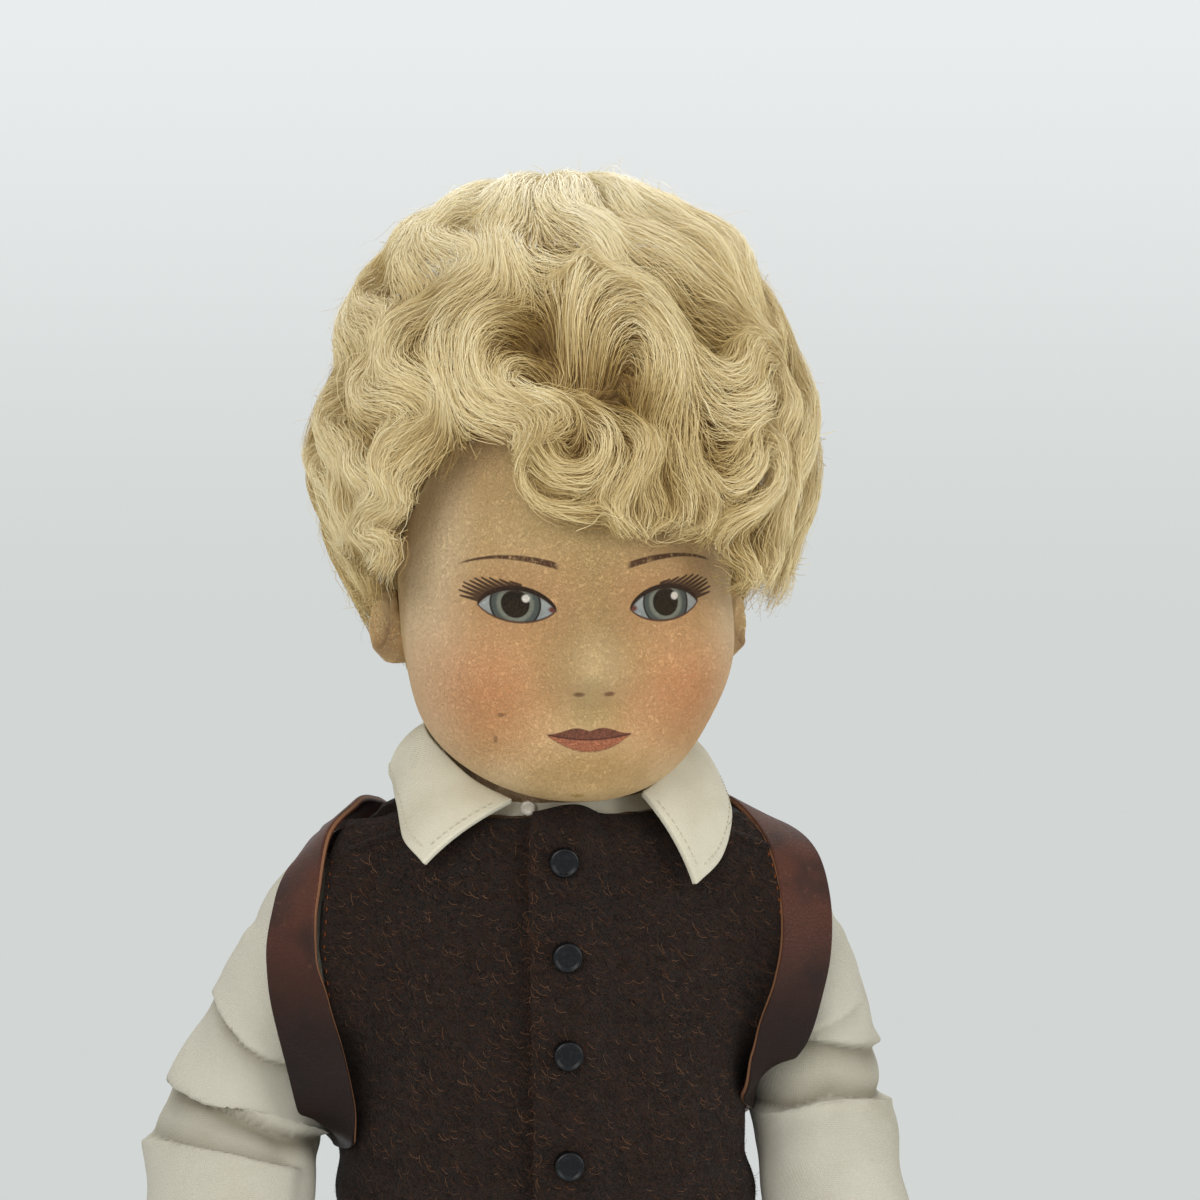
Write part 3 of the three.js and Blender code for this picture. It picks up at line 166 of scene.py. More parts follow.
world = bpy.data.worlds.new("studio")
scene.world = world
world.use_nodes = True
sky = Dye(world.node_tree)
seen, mirrored, through = (sky.node("LightPath", {}, f"Is {ray} Ray")
                           for ray in ("Camera", "Glossy", "Transmission"))
shown = seen.math("MAXIMUM", mirrored).math("MAXIMUM", through)
rise = sky.node("TexCoord", {}, "Generated").part(2)
# Painted light: the backdrop that the camera sees is lighter towards the top.
shaded_backdrop = painted("d2d6d5", "ebeeee", eased(rise, -0.1, 0.08))
set_sockets(world.node_tree.nodes["Background"], Color=painted((0.52, 0.54, 0.55, 1.0), shaded_backdrop, shown))

bpy.ops.object.select_all(action="DESELECT")
bpy.ops.mesh.primitive_circle_add(vertices=96, radius=0.7, fill_type="NGON", location=(0, 0, -0.0004))
floor = bpy.context.object
floor.name = "floor"
floor_paper, floor_shader, _ = new_finish("floor_paper")
set_sockets(floor_shader, Base_Color=hue("dfe2e1"), Roughness=0.9)
floor.data.materials.append(floor_paper)


def lamp(name, place, target, size, power):
    data = bpy.data.lights.new(name, "AREA")
    data.size, data.energy, data.color = size, power, (1.0, 0.985, 0.96)
    made = bpy.data.objects.new(name, data)
    made.location = place
    made.rotation_euler = (Vector(target) - Vector(place)).to_track_quat("-Z", "Y").to_euler()
    scene.collection.objects.link(made)


lamp("key", (-0.55, -1.1, 0.88), (0, 0, 0.33), 0.8, 8.2)
lamp("fill", (0.9, -0.9, 0.6), (0, 0, 0.3), 0.8, 5.4)
lamp("back", (0.1, 0.7, 1.2), (0, 0, 0.32), 0.7, 6.0)

# Torso: a felt bag sewn up the sides and stuffed hard with cotton wool. The neck, arms and legs are
# held to it by disc joints. The shirt, waistcoat and breeches cover it.
TORSO_ROWS = np.array([
    [-0.14, 0.5, 0.55, 0], [-0.09, 0.82, 0.82, 0], [0.03, 1, 0.97, 0], [0.28, 0.97, 1, -1],
    [0.55, 0.98, 1.05, -2], [0.78, 1.02, 1, -1], [0.89, 1.01, 0.88, 0], [0.945, 0.97, 0.8, 0],
    [0.972, 0.87, 0.74, 0], [0.988, 0.73, 0.7, 0], [1, 0.55, 0.64, 0]])
HIP_Z, TORSO_LENGTH, NECK_Z, SHOULDER_Z, WAIST_Z = 186.0, 134.0, 320.0, 296.0, 242.0
TORSO_HALF_WIDTH, TORSO_HALF_DEPTH, TORSO_SQUARENESS = 34.9, 26.0, 2.3


def along(table, place, column=1):
    """Value of a table's column at a place, eased from row to row."""
    table = np.asarray(table, float)
    place = np.clip(place, table[0, 0], table[-1, 0])
    row = np.clip(np.searchsorted(table[:, 0], place, side="right") - 1, 0, len(table) - 2)
    share = (place - table[row, 0]) / (table[row + 1, 0] - table[row, 0])
    share = share * share * (3 - 2 * share)
    return table[row, column] + (table[row + 1, column] - table[row, column]) * share


def smooth(value, low, high):
    share = np.clip((np.asarray(value, float) - low) / (high - low), 0, 1)
    return share * share * (3 - 2 * share)


def unit(ways):
    return ways / np.maximum(np.linalg.norm(ways, axis=-1, keepdims=True), 1e-9)


def torso_surface(angle, z):
    """Points of the torso at an angle from the front and a height."""
    share = (z - HIP_Z) / TORSO_LENGTH
    rounded = lambda v: np.sign(v) * np.abs(v) ** (2 / TORSO_SQUARENESS)
    x = TORSO_HALF_WIDTH * along(TORSO_ROWS, share, 1) * rounded(np.sin(angle))
    y = -TORSO_HALF_DEPTH * along(TORSO_ROWS, share, 2) * rounded(np.cos(angle)) + along(TORSO_ROWS, share, 3)
    return np.stack([x, y, z + 0 * x], -1)


def over_torso(angle, z, offset):
    """Points over the torso, pushed out square to its surface."""
    angle, z, offset = np.broadcast_arrays(*(np.asarray(value, float) for value in (angle, z, offset)))
    around = torso_surface(angle + 0.02, z) - torso_surface(angle - 0.02, z)
    up = torso_surface(angle, np.minimum(z + 0.8, NECK_Z)) - torso_surface(angle, z - 0.8)
    return torso_surface(angle, z) + unit(np.cross(around, up)) * offset[..., None]


def only(piece):
    bpy.ops.object.select_all(action="DESELECT")
    piece.select_set(True)
    bpy.context.view_layer.objects.active = piece


@contextmanager
def editing(piece):
    """Edit mode on one piece, with all of its mesh selected."""
    only(piece)
    bpy.ops.object.mode_set(mode="EDIT")
    bpy.ops.mesh.select_all(action="SELECT")
    yield
    bpy.ops.object.mode_set(mode="OBJECT")


def apply(piece, kind, **settings):
    only(piece)
    modifier = piece.modifiers.new(kind.lower(), kind)
    for name, value in settings.items():
        setattr(modifier, name, value)
    bpy.ops.object.modifier_apply(modifier=modifier.name)


def rubbed(piece, voxel, rounds):
    """The piece as one skin, with its corners and joins rubbed round."""
    apply(piece, "REMESH", mode="VOXEL", voxel_size=voxel / 1000, use_smooth_shade=True)
    apply(piece, "SMOOTH", factor=0.5, iterations=rounds)
    return piece


def soft_copy(name, node, voxel, rounds):
    """A piece of cloth or stuffing in the room that a CAD solid holds."""
    piece = bpy.data.objects.new(name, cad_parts[node].data.copy())
    piece.data.materials.clear()
    scene.collection.objects.link(piece)
    with editing(piece):
        bpy.ops.mesh.remove_doubles(threshold=1e-6)
    return rubbed(piece, voxel, rounds)


def belongs(piece, material, slot, body, *nodes):
    """Gives a piece its finish, the body it rides on, if any, and the solids it stands for. The slot is not
    used.
    """
    piece.data.materials.append(material)
    if body:
        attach(piece, body)
    if nodes:
        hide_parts(*nodes)
    return piece


def grain(place, scale, detail=3.0, distortion=0.0):
    sockets = {"Vector": place, "Scale": scale, "Detail": detail, "Distortion": distortion}
    return place.node("TexNoise", sockets)


def raised(height, depth):
    """Normal of a surface whose height of 0 to 1 stands for a depth in millimetres."""
    return height.node("Bump", {"Height": height, "Distance": depth / 1000, "Strength": 1.0})


def fibre_net(place, scale):
    """Thin bright lines that wander like felted fibres, 0 to 1."""
    fine = abs(grain(place, scale, 2.0, 1.2) * 2.0 - 1.0)
    cross = abs(grain(place, scale * 1.63, 2.0, 2.0) * 2.0 - 1.0)
    return eased(fine.math("MINIMUM", cross), 0.16, 0.0)


def felt(name, dark, mid, pale, depth=0.25):
    material, shader, place = new_finish(name)
    net = fibre_net(place, 520.0)
    colour = painted(dark, mid, eased(grain(place, 90.0, 4.0), 0.32, 0.62))
    height = net * 0.6 + grain(place, 1500.0, 3.0) * 0.4
    set_sockets(shader, Base_Color=painted(colour, pale, net * 0.55), Normal=raised(height, depth),
                Roughness=0.95, Sheen_Weight=0.05, Sheen_Roughness=0.6, Specular_IOR_Level=0.15)
    return material


body_felt = felt("body_felt", "c79e74", "dcb78c", "ecd2b0")
torso = belongs(soft_copy("torso_stuffed", "torso", 2.2, 3), body_felt, "skin_felt", "torso", "torso")

# Disc joints: two hardboard discs and a steel cotter pin with its washer at the neck, shoulders and
# hips. They are cut and bent hard parts, so the solids stay and take on board and steel finishes.
def mottled(name, dark, pale, low, high, *noise):
    """A finish of two colours mixed by a grain, with its shader and the grain."""
    material, shader, place = new_finish(name)
    wear = grain(place, *noise)
    set_sockets(shader, Base_Color=painted(dark, pale, eased(wear, low, high)))
    return material, shader, wear


def dress(node, material):
    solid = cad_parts[node]
    solid.data.materials.clear()
    solid.data.materials.append(material)


board, board_shader, board_fibres = mottled("hardboard", "6f5236", "9b7a55", 0.3, 0.7, 700.0, 5.0, 0.6)
set_sockets(board_shader, Normal=raised(board_fibres, 0.12), Roughness=0.8)
steel, steel_shader, steel_wear = mottled("pin_steel", "8f9497", "c4c8ca", 0.35, 0.7, 900.0, 4.0)
set_sockets(steel_shader, Roughness=steel_wear * 0.3 + 0.22, Metallic=1.0)
for joint in ("neck", "shoulder_right", "shoulder_left", "hip_right", "hip_left"):
    dress(joint + "_disc_body", board)
    dress(joint + "_disc_limb", board)
    dress(joint + "_pin", steel)

# Legs: felt tubes with a sewn foot, stuffed firm, each turned on its hip disc. Breeches, stockings and
# shoes hide them.
SIDES = {"right": -1, "left": 1}
LEG_X, LEG_Z = 23.6, (HIP_Z, 136, 96, 58, 25)
LEG_ROWS = [[0, 12.6, 19.2], [0.25, 12.6, 17.2], [0.5, 11.7, 12.42], [0.7, 11.27, 12.65], [1, 9, 9.45]]
FOOT_LENGTH, FOOT_HEEL_Y, FOOT_HALF_WIDTH, FOOT_HEIGHT, FOOT_BASE_Z = 53.2, 14.6, 10.1, 21, 7.6
FOOT_ROWS = [[0, 0.4, 0.5], [0.1, 0.78, 0.92], [0.3, 0.84, 1], [0.5, 0.88, 0.9], [0.72, 1, 0.66],
             [0.9, 0.84, 0.5], [1, 0.4, 0.3]]


def sewn_grid(name, rows, closed=False):
    """Sheet of points in rows, modelled from a grid; closed joins its last column to its first."""
    rows = np.asarray(rows, float)
    bpy.ops.object.select_all(action="DESELECT")
    down, across = rows.shape[:2]
    bpy.ops.mesh.primitive_grid_add(x_subdivisions=across - 1, y_subdivisions=down - 1, size=1)
    piece = bpy.context.object
    piece.name = piece.data.name = name
    move_points(piece, rows)
    if closed:
        with editing(piece):
            bpy.ops.mesh.remove_doubles(threshold=1e-6)
    piece.data.shade_smooth()
    return piece


def filled_form(name, rows):
    """Closed rings of points as a solid form, capped at both ends."""
    form = sewn_grid(name, rows, closed=True)
    with editing(form):
        bpy.ops.mesh.select_mode(type="VERT")
        bpy.ops.mesh.fill_holes(sides=0)
        bpy.ops.mesh.select_all(action="SELECT")
        bpy.ops.mesh.normals_make_consistent(inside=False)
    return form


def outward(piece):
    with editing(piece):
        bpy.ops.mesh.normals_make_consistent(inside=False)


def curve_through(points, shares):
    """Centripetal curve through points, at shares of its rows."""
    points = np.asarray(points, float)
    points = np.vstack([2 * points[0] - points[1], points, 2 * points[-1] - points[-2]])
    spans = len(points) - 3
    place = np.clip(np.asarray(shares, float) * spans, 0, spans - 1e-9)
    row = place.astype(int)
    t = (place - row)[:, None]
    p0, p1, p2, p3 = (points[row + i] for i in range(4))
    d0, d1, d2 = (np.maximum(np.linalg.norm(b - a, axis=1)[:, None], 1e-6) ** 0.5
                  for a, b in ((p0, p1), (p1, p2), (p2, p3)))
    m1 = ((p1 - p0) / d0 - (p2 - p0) / (d0 + d1) + (p2 - p1) / d1) * d1
    m2 = ((p2 - p1) / d1 - (p3 - p1) / (d1 + d2) + (p3 - p2) / d2) * d1
    return (p1 + m1 * t + (-3 * p1 + 3 * p2 - 2 * m1 - m2) * t ** 2 + (2 * p1 - 2 * p2 + m1 + m2) * t ** 3)


def swept(points, table, shares, grow, sides):
    """Rings round a curve, with radii from a table."""
    shares = np.asarray(shares, float)
    ahead, behind = (curve_through(points, np.clip(shares + step, 0, 1)) for step in (1e-3, -1e-3))
    tangent = unit(ahead - behind)
    across = unit(np.array([1.0, 0, 0]) - tangent * tangent[:, :1])
    deep = np.cross(tangent, across)
    turn = np.linspace(0, math.tau, sides + 1)
    wide, thick = (along(table, shares, i) + grow for i in (1, 2))
    middle = curve_through(points, shares)
    return (middle[:, None] + across[:, None] * (np.cos(turn) * wide[:, None])[..., None]
            + deep[:, None] * (np.sin(turn) * thick[:, None])[..., None])


def vertex_values(piece, what):
    flat = np.empty(len(piece.data.vertices) * 3)
    piece.data.vertices.foreach_get(what, flat)
    return flat.reshape(-1, 3)


def points_of(piece):
    return vertex_values(piece, "co") * 1000 - SHIFT


def move_points(piece, points):
    piece.data.vertices.foreach_set("co", in_frame(points).ravel())
    piece.data.update()


def push_out(piece, depth):
    """Moves each point of a piece square to its surface, by a depth worked out from places and normals."""
    points, normals = points_of(piece), vertex_values(piece, "normal")
    move_points(piece, points + normals * depth(points, normals)[:, None])


def leg_line(sign):
    return np.array([[sign * LEG_X, 0, z] for z in LEG_Z], float)


def turned_root(name, centre_z, sign, profile):
    """Round form about an axis along X, from rows of distance out and radius."""
    turn = np.linspace(0, math.tau, 65)
    return filled_form(name, [[[sign * out, r * math.cos(t), centre_z + r * math.sin(t)] for t in turn]
                              for out, r in profile])


def tube(name, line, table, low, high, grow, rings=50, sides=64):
    return filled_form(name, swept(line, table, np.linspace(low, high, rings), grow, sides))


def foot_form(name, sign, grow):
    share = np.linspace(0, 1, 40)[:, None]
    turn = np.linspace(0, math.tau, 65)[None, :]
    y = FOOT_HEEL_Y + grow - (FOOT_LENGTH + 2 * grow) * share
    wide = FOOT_HALF_WIDTH * along(FOOT_ROWS, share, 1) + grow
    high = FOOT_HEIGHT * along(FOOT_ROWS, share, 2) + 2 * grow
    rise = np.sin(turn)
    flat = np.where(rise < 0, -(np.abs(rise) ** 0.45), rise)
    return filled_form(name, np.stack([sign * LEG_X + np.cos(turn) * wide, y + 0 * turn,
                                       FOOT_BASE_Z - grow + high / 2 * (1 + flat)], -1))


def melted(name, voxel, rounds, first, *others):
    """Forms joined into one skin."""
    only(first)
    for other in others:
        other.select_set(True)
    bpy.ops.object.join()
    first.name = first.data.name = name
    return rubbed(first, voxel, rounds)


def hip_root(name, sign, radius, inside, outside):
    span = outside - inside
    return turned_root(name, HIP_Z, sign, [[inside, radius], [inside + span * 0.6, radius],
                                           [inside + span * 0.85, radius * 0.9], [outside, radius * 0.6]])


for side, sign in SIDES.items():
    leg = melted(f"leg_{side}_stuffed", 2.0, 5, hip_root("root", sign, 19.6, 8.4, 36),
                 tube("limb", leg_line(sign), LEG_ROWS, 0, 1, -0.2), foot_form("foot", sign, -0.2))
    belongs(leg, body_felt, "skin_felt", f"leg_{side}", f"leg_{side}")

# Stockings: fine ribbed knit in cream cotton, pulled up under the breeches and down into the shoes.
STOCKING_RIBS, KNIT_ROW, STOCKING_WALL = 44.0, 0.0009, 0.0009
stocking_knit, knit_shader, knit_place = new_finish("stocking_knit")
rib = abs((knit_place.node("UVMap", {}).part(0) * (STOCKING_RIBS * math.tau)).math("SINE"))
row = abs((knit_place.part(2) * (math.pi / KNIT_ROW)).math("SINE"))
knit_height = rib * 0.7 + row * 0.3
# Painted shade: the knit is darker in the hollows between its ribs and rows.
set_sockets(knit_shader, Base_Color=painted("a99c80", "dfd5bf", eased(knit_height, 0.15, 0.75)),
            Normal=raised(knit_height, 0.35), Roughness=0.95)


def cloth(name, points, thick, offset=0.0, closed=True):
    """A sheet of points with a thickness in metres, to its inside at offset -1 or to both sides at 0."""
    piece = sewn_grid(name, points, closed)
    outward(piece)
    apply(piece, "SOLIDIFY", thickness=thick, offset=offset)
    return piece


for side, sign in SIDES.items():
    share = np.linspace(0.42, 0.955, 70)[:, None]
    turn = np.linspace(0, math.tau, 97)[None, :]
    slack = 0.4 * np.sin(share * 120 + 2 * np.sin(turn)) * smooth(share, 0.75, 0.95)
    wide, deep = (along(LEG_ROWS, share, i) + 1.3 + slack for i in (1, 2))
    height = np.interp(share, np.linspace(0, 1, len(LEG_Z)), LEG_Z)
    points = np.stack([sign * LEG_X + wide * np.cos(turn), deep * np.sin(turn), height + 0 * turn], -1)
    stocking = cloth(f"stocking_{side}_knit", points, STOCKING_WALL, -1.0)
    belongs(stocking, stocking_knit, "stocking_knit", f"leg_{side}", f"stocking_{side}")

# Breeches: thick grey-brown felt, cut in two halves that are sewn together down the middle and end at
# the knee in a turned band. Each half is soft at the hip. A gusset lies under the seat.
breeches_felt = felt("breeches_felt", "3f3831", "574e45", "7d7266", 0.4)


def round_torso(name, low, high, rings, offset):
    """A closed form round the torso from one height to another."""
    turn, height = np.linspace(0, math.tau, 97)[None, :], np.linspace(low, high, rings)[:, None]
    return filled_form(name, over_torso(turn, height, offset))


def breeches_depth(points, normals):
    """A turned band at the knee, and creases up the thigh; the middle seam and the bottom stay flat."""
    x, y, z = points.T
    band = 0.9 * (1 - smooth(z, 93.2, 94.0))
    creases = 0.35 * np.sin(z * 0.55 + 2.2 * np.sin(y * 0.12)) * smooth(z, 96, 120)
    creases *= 1 - smooth(z, 160, 200)
    return np.where((np.abs(x) > 0.5) & (z > 88.6), band + creases, 0)


def bends(piece):
    """Bakes the piece's placing into its points; the piece rides on no body."""
    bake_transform(piece)


gusset = round_torso("breeches_gusset_felt", 167.3, 212, 32, 1.0)
belongs(gusset, breeches_felt, "breeches_felt", "torso")
for side, sign in SIDES.items():
    forms = [round_torso("hips", 170, 241.5, 50, 3.4)]
    for way in (-1, 1):
        forms.append(hip_root("root", way, 22.4, 3.0, 40.2))
        forms.append(tube("limb", leg_line(way), LEG_ROWS, 0.02, 0.56, 4.2))
    breeches = melted(f"breeches_{side}_felt", 1.15, 10, *forms)
    with editing(breeches):
        bpy.ops.mesh.bisect(plane_co=in_frame([0, 0, 200]), plane_no=(sign, 0, 0), clear_inner=True,
                            use_fill=True)
    push_out(breeches, breeches_depth)
    belongs(breeches, breeches_felt, "breeches_felt", None, f"breeches_{side}", "breeches_seat")
    bends(breeches)

# Shoes: soft brown leather uppers drawn over the foot and stitched to a thick sole.
def leather(name, dark, mid, pale, rough=0.5):
    material, shader, place = new_finish(name)
    wear = grain(place, 110.0, 5.0)
    cells = {"Vector": place, "Scale": 1300.0}
    creases = eased(place.node("TexVoronoi", cells, "Distance", feature="DISTANCE_TO_EDGE"), 0.0, 0.12)
    scratch = eased(grain(place, 420.0, 6.0, 1.5), 0.6, 0.78)
    colour = painted(dark, mid, eased(wear, 0.3, 0.6) * (creases * 0.4 + 0.6))
    height = creases * 0.5 + grain(place, 2600.0, 2.0) * 0.5
    set_sockets(shader, Base_Color=painted(colour, pale, scratch * 0.5), Normal=raised(height, 0.1),
                Roughness=wear * 0.25 + (rough - 0.12), Specular_IOR_Level=0.4)
    return material


def bell(distance, width):
    return np.exp(-(distance / width) ** 2)


def shoe_depth(points, normals):
    """Seams round the toe cap, up the heel and along the tongue, and creases where the foot bends."""
    x, y, z = points.T
    x = np.abs(x) - LEG_X
    toe_cap = bell(y + 26 + 0.02 * x ** 2, 0.5)
    heel_seam = bell(x, 0.5) * (y > 8)
    tongue = bell(np.abs(x) - 5.2, 0.5) * (y < -6) * (y > -23) * (z > 14)
    return 0.25 * np.sin(y * 1.4) * bell(y + 15, 5) - 0.45 * toe_cap - 0.35 * heel_seam - 0.5 * tongue


shoe_leather = leather("shoe_leather", "2d1a12", "4a2c1e", "6f4a34")
sole_leather = leather("sole_leather", "1e1510", "33241b", "5b4331", 0.65)
for side, sign in SIDES.items():
    ankle = filled_form("ankle", [[[sign * LEG_X + math.cos(t) * r, math.sin(t) * r * 1.08 - 0.4, z]
                                   for t in np.linspace(0, math.tau, 65)]
                                  for z, r in ((14, 13.6), (24, 13.2), (29.6, 13.4), (31, 13.2))])
    upper = melted(f"shoe_{side}_upper", 0.72, 6, foot_form("last", sign, 2.3), ankle)
    push_out(upper, shoe_depth)
    belongs(upper, shoe_leather, "shoe_leather", f"leg_{side}", f"shoe_upper_{side}")
    dress(f"shoe_sole_{side}", sole_leather)

# Arms: felt with a mitten hand and a thumb, stuffed, and turned on the shoulder discs. Three rows of
# stitches through the hand mark its fingers.
ARM_SPREAD = {"right": 16.0, "left": 9.5}
ARM_RADIUS = 9.6
ARM_ROWS = np.array([[0, .92, .92], [.17, 1, 1], [.33, .93, .95], [.5, .9, .92], [.68, .7, .74],
                     [.8, .62, 1.1], [.92, .6, 1.05], [1, .3, .6]]) * [1, ARM_RADIUS, ARM_RADIUS]
ELBOW_BEND, UPPER_ARM, FOREARM, HAND = 38, 41, 44, 34


def arm_line(side):
    """Points down the middle of an arm, from the shoulder to the fingertips."""
    sign, spread, bend = SIDES[side], math.radians(ARM_SPREAD[side]), math.radians(ELBOW_BEND)
    way = lambda out, forward, down: np.array([sign * out, -forward, -down])
    top = np.array([sign * 33.5, 0, SHOULDER_Z]) + way(19 * 0.78, 0, 0)
    down = way(math.sin(spread), 0, math.cos(spread))
    fore = way(math.sin(spread) * 0.3, math.sin(bend), math.cos(bend))
    elbow = top + down * UPPER_ARM
    wrist = elbow + fore * FOREARM
    return np.array([top, (top + elbow) / 2, elbow, (elbow + wrist) / 2, wrist, wrist + fore * (HAND / 2),
                     wrist + fore * HAND])


def near_line(points, line, shares):
    """The share of a line that each point is nearest to, and the way there from the line."""
    middle = curve_through(line, shares)
    nearest = np.argmin(((points[:, None] - middle[None]) ** 2).sum(-1), axis=1)
    return shares[nearest], points - middle[nearest]


THUMB_ROWS = [[0, 3.2, 3.6], [0.6, 3.1, 3.5], [1, 1.7, 1.9]]
for side, sign in SIDES.items():
    line = arm_line(side)
    base, tip = curve_through(line, [0.8, 0.98])
    reach = (tip - base) * 0.62 + np.array([-sign * 6, -9, 5])
    thumb = tube("thumb", [base, base + reach * 0.5, base + reach], THUMB_ROWS, 0, 1, 0.2, 20, 32)
    root = turned_root("root", SHOULDER_Z, sign, [[33.9, 12.2], [42, 12.2], [47, 11.6], [51.5, 9], [54, 4.5]])
    arm = melted(f"arm_{side}_stuffed", 1.0, 7, root, tube("limb", line, ARM_ROWS, 0, 1, 0.0), thumb)
    wrist, tip = curve_through(line, [0.7, 1])
    over_hand = np.cross(unit(tip - wrist), [1.0, 0, 0])

    def finger_grooves(points, normals):
        share, off = near_line(points, line, np.linspace(0.7, 1, 91))
        grooves = sum(bell(off @ over_hand - place, 0.55) for place in (-4.4, 0.0, 4.4))
        return -0.6 * grooves * smooth(share, 0.86, 0.9)

    push_out(arm, finger_grooves)
    belongs(arm, body_felt, "skin_felt", f"arm_{side}", f"arm_{side}")

# Shirt: cream cotton. The body shows only at the neck, where a stand carries the folded collar, and
# under the arms.
def cotton(name, dark, mid, pale):
    """Plain weave, with painted shade in the creases where the piece has them marked."""
    material, shader, place = new_finish(name)
    x, y, z = (place.part(axis) for axis in range(3))
    warp, weft = (abs((thread * 9000.0).math("SINE")) for thread in (x + y * 0.4, z))
    slub, tone = grain(place, 2600.0, 3.0), grain(place, 45.0, 3.0)
    colour = painted(dark, mid, eased(tone, 0.2, 0.55))
    colour = painted(colour, pale, eased(slub, 0.45, 0.75) * 0.35)
    # Painted shade in the creases, varied by the cotton's tone.
    crease_shade = place.node("Attribute", {}, "Fac", attribute_name="crease")
    colour = painted(colour, "6d634f", crease_shade * (tone * 0.5 + 0.4))
    set_sockets(shader, Base_Color=colour, Normal=raised(warp * 0.25 + weft * 0.25 + slub * 0.5, 0.16),
                Roughness=0.92, Specular_IOR_Level=0.15)
    return material


STAND_WALL, LEAF_WALL, CUFF_WALL, COTTON_EDGE = 0.0011, 0.0014, 0.0016, (0.0005, 1.0)
shirt_cotton = cotton("shirt_cotton", "c9c1a8", "dcd6c1", "e8e3d1")
body = soft_copy("shirt_body_cotton", "shirt_body", 1.6, 1)
belongs(body, shirt_cotton, "shirt_cotton", "torso", "shirt_body")
underarm = round_torso("shirt_underarm_cotton", 258, 283, 14, 0.6)
belongs(underarm, shirt_cotton, "shirt_cotton", "torso")

# The line where the collar folds over: degrees from the front, distance out, and height over the neck.
COLLAR_FOLD = [[0, 21, 3], [58, 22.2, 3.6], [90, 23.5, 9.96], [180, 21, 15]]
turn = np.radians(np.linspace(-180, 180, 145))[None, :]
degrees = np.abs(np.degrees(turn))
brim_out, brim_rise = along(COLLAR_FOLD, degrees, 1) - 2.0, along(COLLAR_FOLD, degrees, 2) - 1.0
share = np.linspace(0, 1, 14)[:, None]
foot = over_torso(turn, 318.8, 1.0)
brim = np.stack([brim_out * np.sin(turn), -brim_out * np.cos(turn), NECK_Z + brim_rise], -1)
pleats = 0.25 * np.sin(turn * 31 + 2 * np.sin(5 * turn)) * (1 - share)
stand_points = foot + (brim - foot) * share[..., None]
stand_points[..., :2] *= (1 + pleats / 22)[..., None]
stand = cloth("collar_stand_cotton", stand_points, STAND_WALL, -1.0)
belongs(stand, shirt_cotton, "shirt_cotton", "torso", "collar_stand")

# Rows of the leaf from its right front edge round the neck to its left one: fold, then outer edge.
LEAF_ROWS = np.array([
    [-9.1, -22, 322.6, -26.4, -27, 311.3], [-15.5, -17.6, 325.8, -29.4, -19, 315],
    [-20.2, -9, 329.8, -29.4, -9, 320.4], [-22.6, 0, 332.8, -29.4, 2, 323], [-21.5, 11, 334, -28, 14, 324.5],
    [-13, 18.5, 335, -17.5, 24, 325.5], [1.5, 21, 335.2, 1.5, 28.2, 325.8],
    [16.5, 18.5, 334.8, 20.5, 24, 325.3], [25, 11, 333.4, 31.3, 14, 324], [26.6, 0, 331, 34.4, 2, 321.5],
    [24.8, -9.5, 329.2, 34.4, -9.5, 318], [20, -17.7, 326.2, 31.3, -20, 310.8],
    [15.4, -22.5, 323.8, 24.8, -28, 306.6]])


def square_to(points):
    """Ways square to a sheet of points."""
    return unit(np.cross(np.gradient(points, axis=0), np.gradient(points, axis=1)))


def bevelled(piece, width, angle, segments=2):
    apply(piece, "BEVEL", width=width, segments=segments, limit_method="ANGLE", angle_limit=angle)


share = np.linspace(0, 1, 34)[None, :, None]
rows = np.linspace(0, 1, 201)
fold, edge = (curve_through(part, rows)[:, None] for part in (LEAF_ROWS[:, :3], LEAF_ROWS[:, 3:]))
leaf_points = fold + (edge - fold) * share
leaf_out = square_to(leaf_points)
leaf_out *= np.sign(leaf_out[..., 2:])
crown = 0.6 + 1.5 * np.sin(share * math.pi) ** 0.8 + 0.3 * np.sin(rows * 46)[:, None, None] * share
leaf_points = leaf_points + leaf_out * crown
leaf = sewn_grid("collar_leaf_cotton", leaf_points)
apply(leaf, "SOLIDIFY", thickness=LEAF_WALL, offset=0.0)
bevelled(leaf, *COTTON_EDGE)
belongs(leaf, shirt_cotton, "shirt_cotton", "torso", "collar_leaf")


def strand_mesh(name, paths, radii, *rest):
    """Three-sided tapered tubes round the paths, each closed at both ends."""
    count, steps = paths.shape[:2]
    tangent = unit(np.gradient(paths, axis=1))
    first = unit(np.cross(tangent, np.array([0.31, 0.52, 0.79])))
    second = np.cross(tangent, first)
    points = np.stack([paths + radii[..., None] * (math.cos(a) * first + math.sin(a) * second)
                       for a in (0, math.tau / 3, 2 * math.tau / 3)], 2)
    index = np.arange(count * steps * 3).reshape(count, steps, 3)
    turned = np.roll(index, -1, axis=2)
    quads = np.stack([index[:, :-1], turned[:, :-1], turned[:, 1:], index[:, 1:]], -1).reshape(-1, 4)
    ends = np.concatenate([index[:, 0, ::-1], index[:, -1]])
    return thread_piece(name, points, quads, ends, *rest)


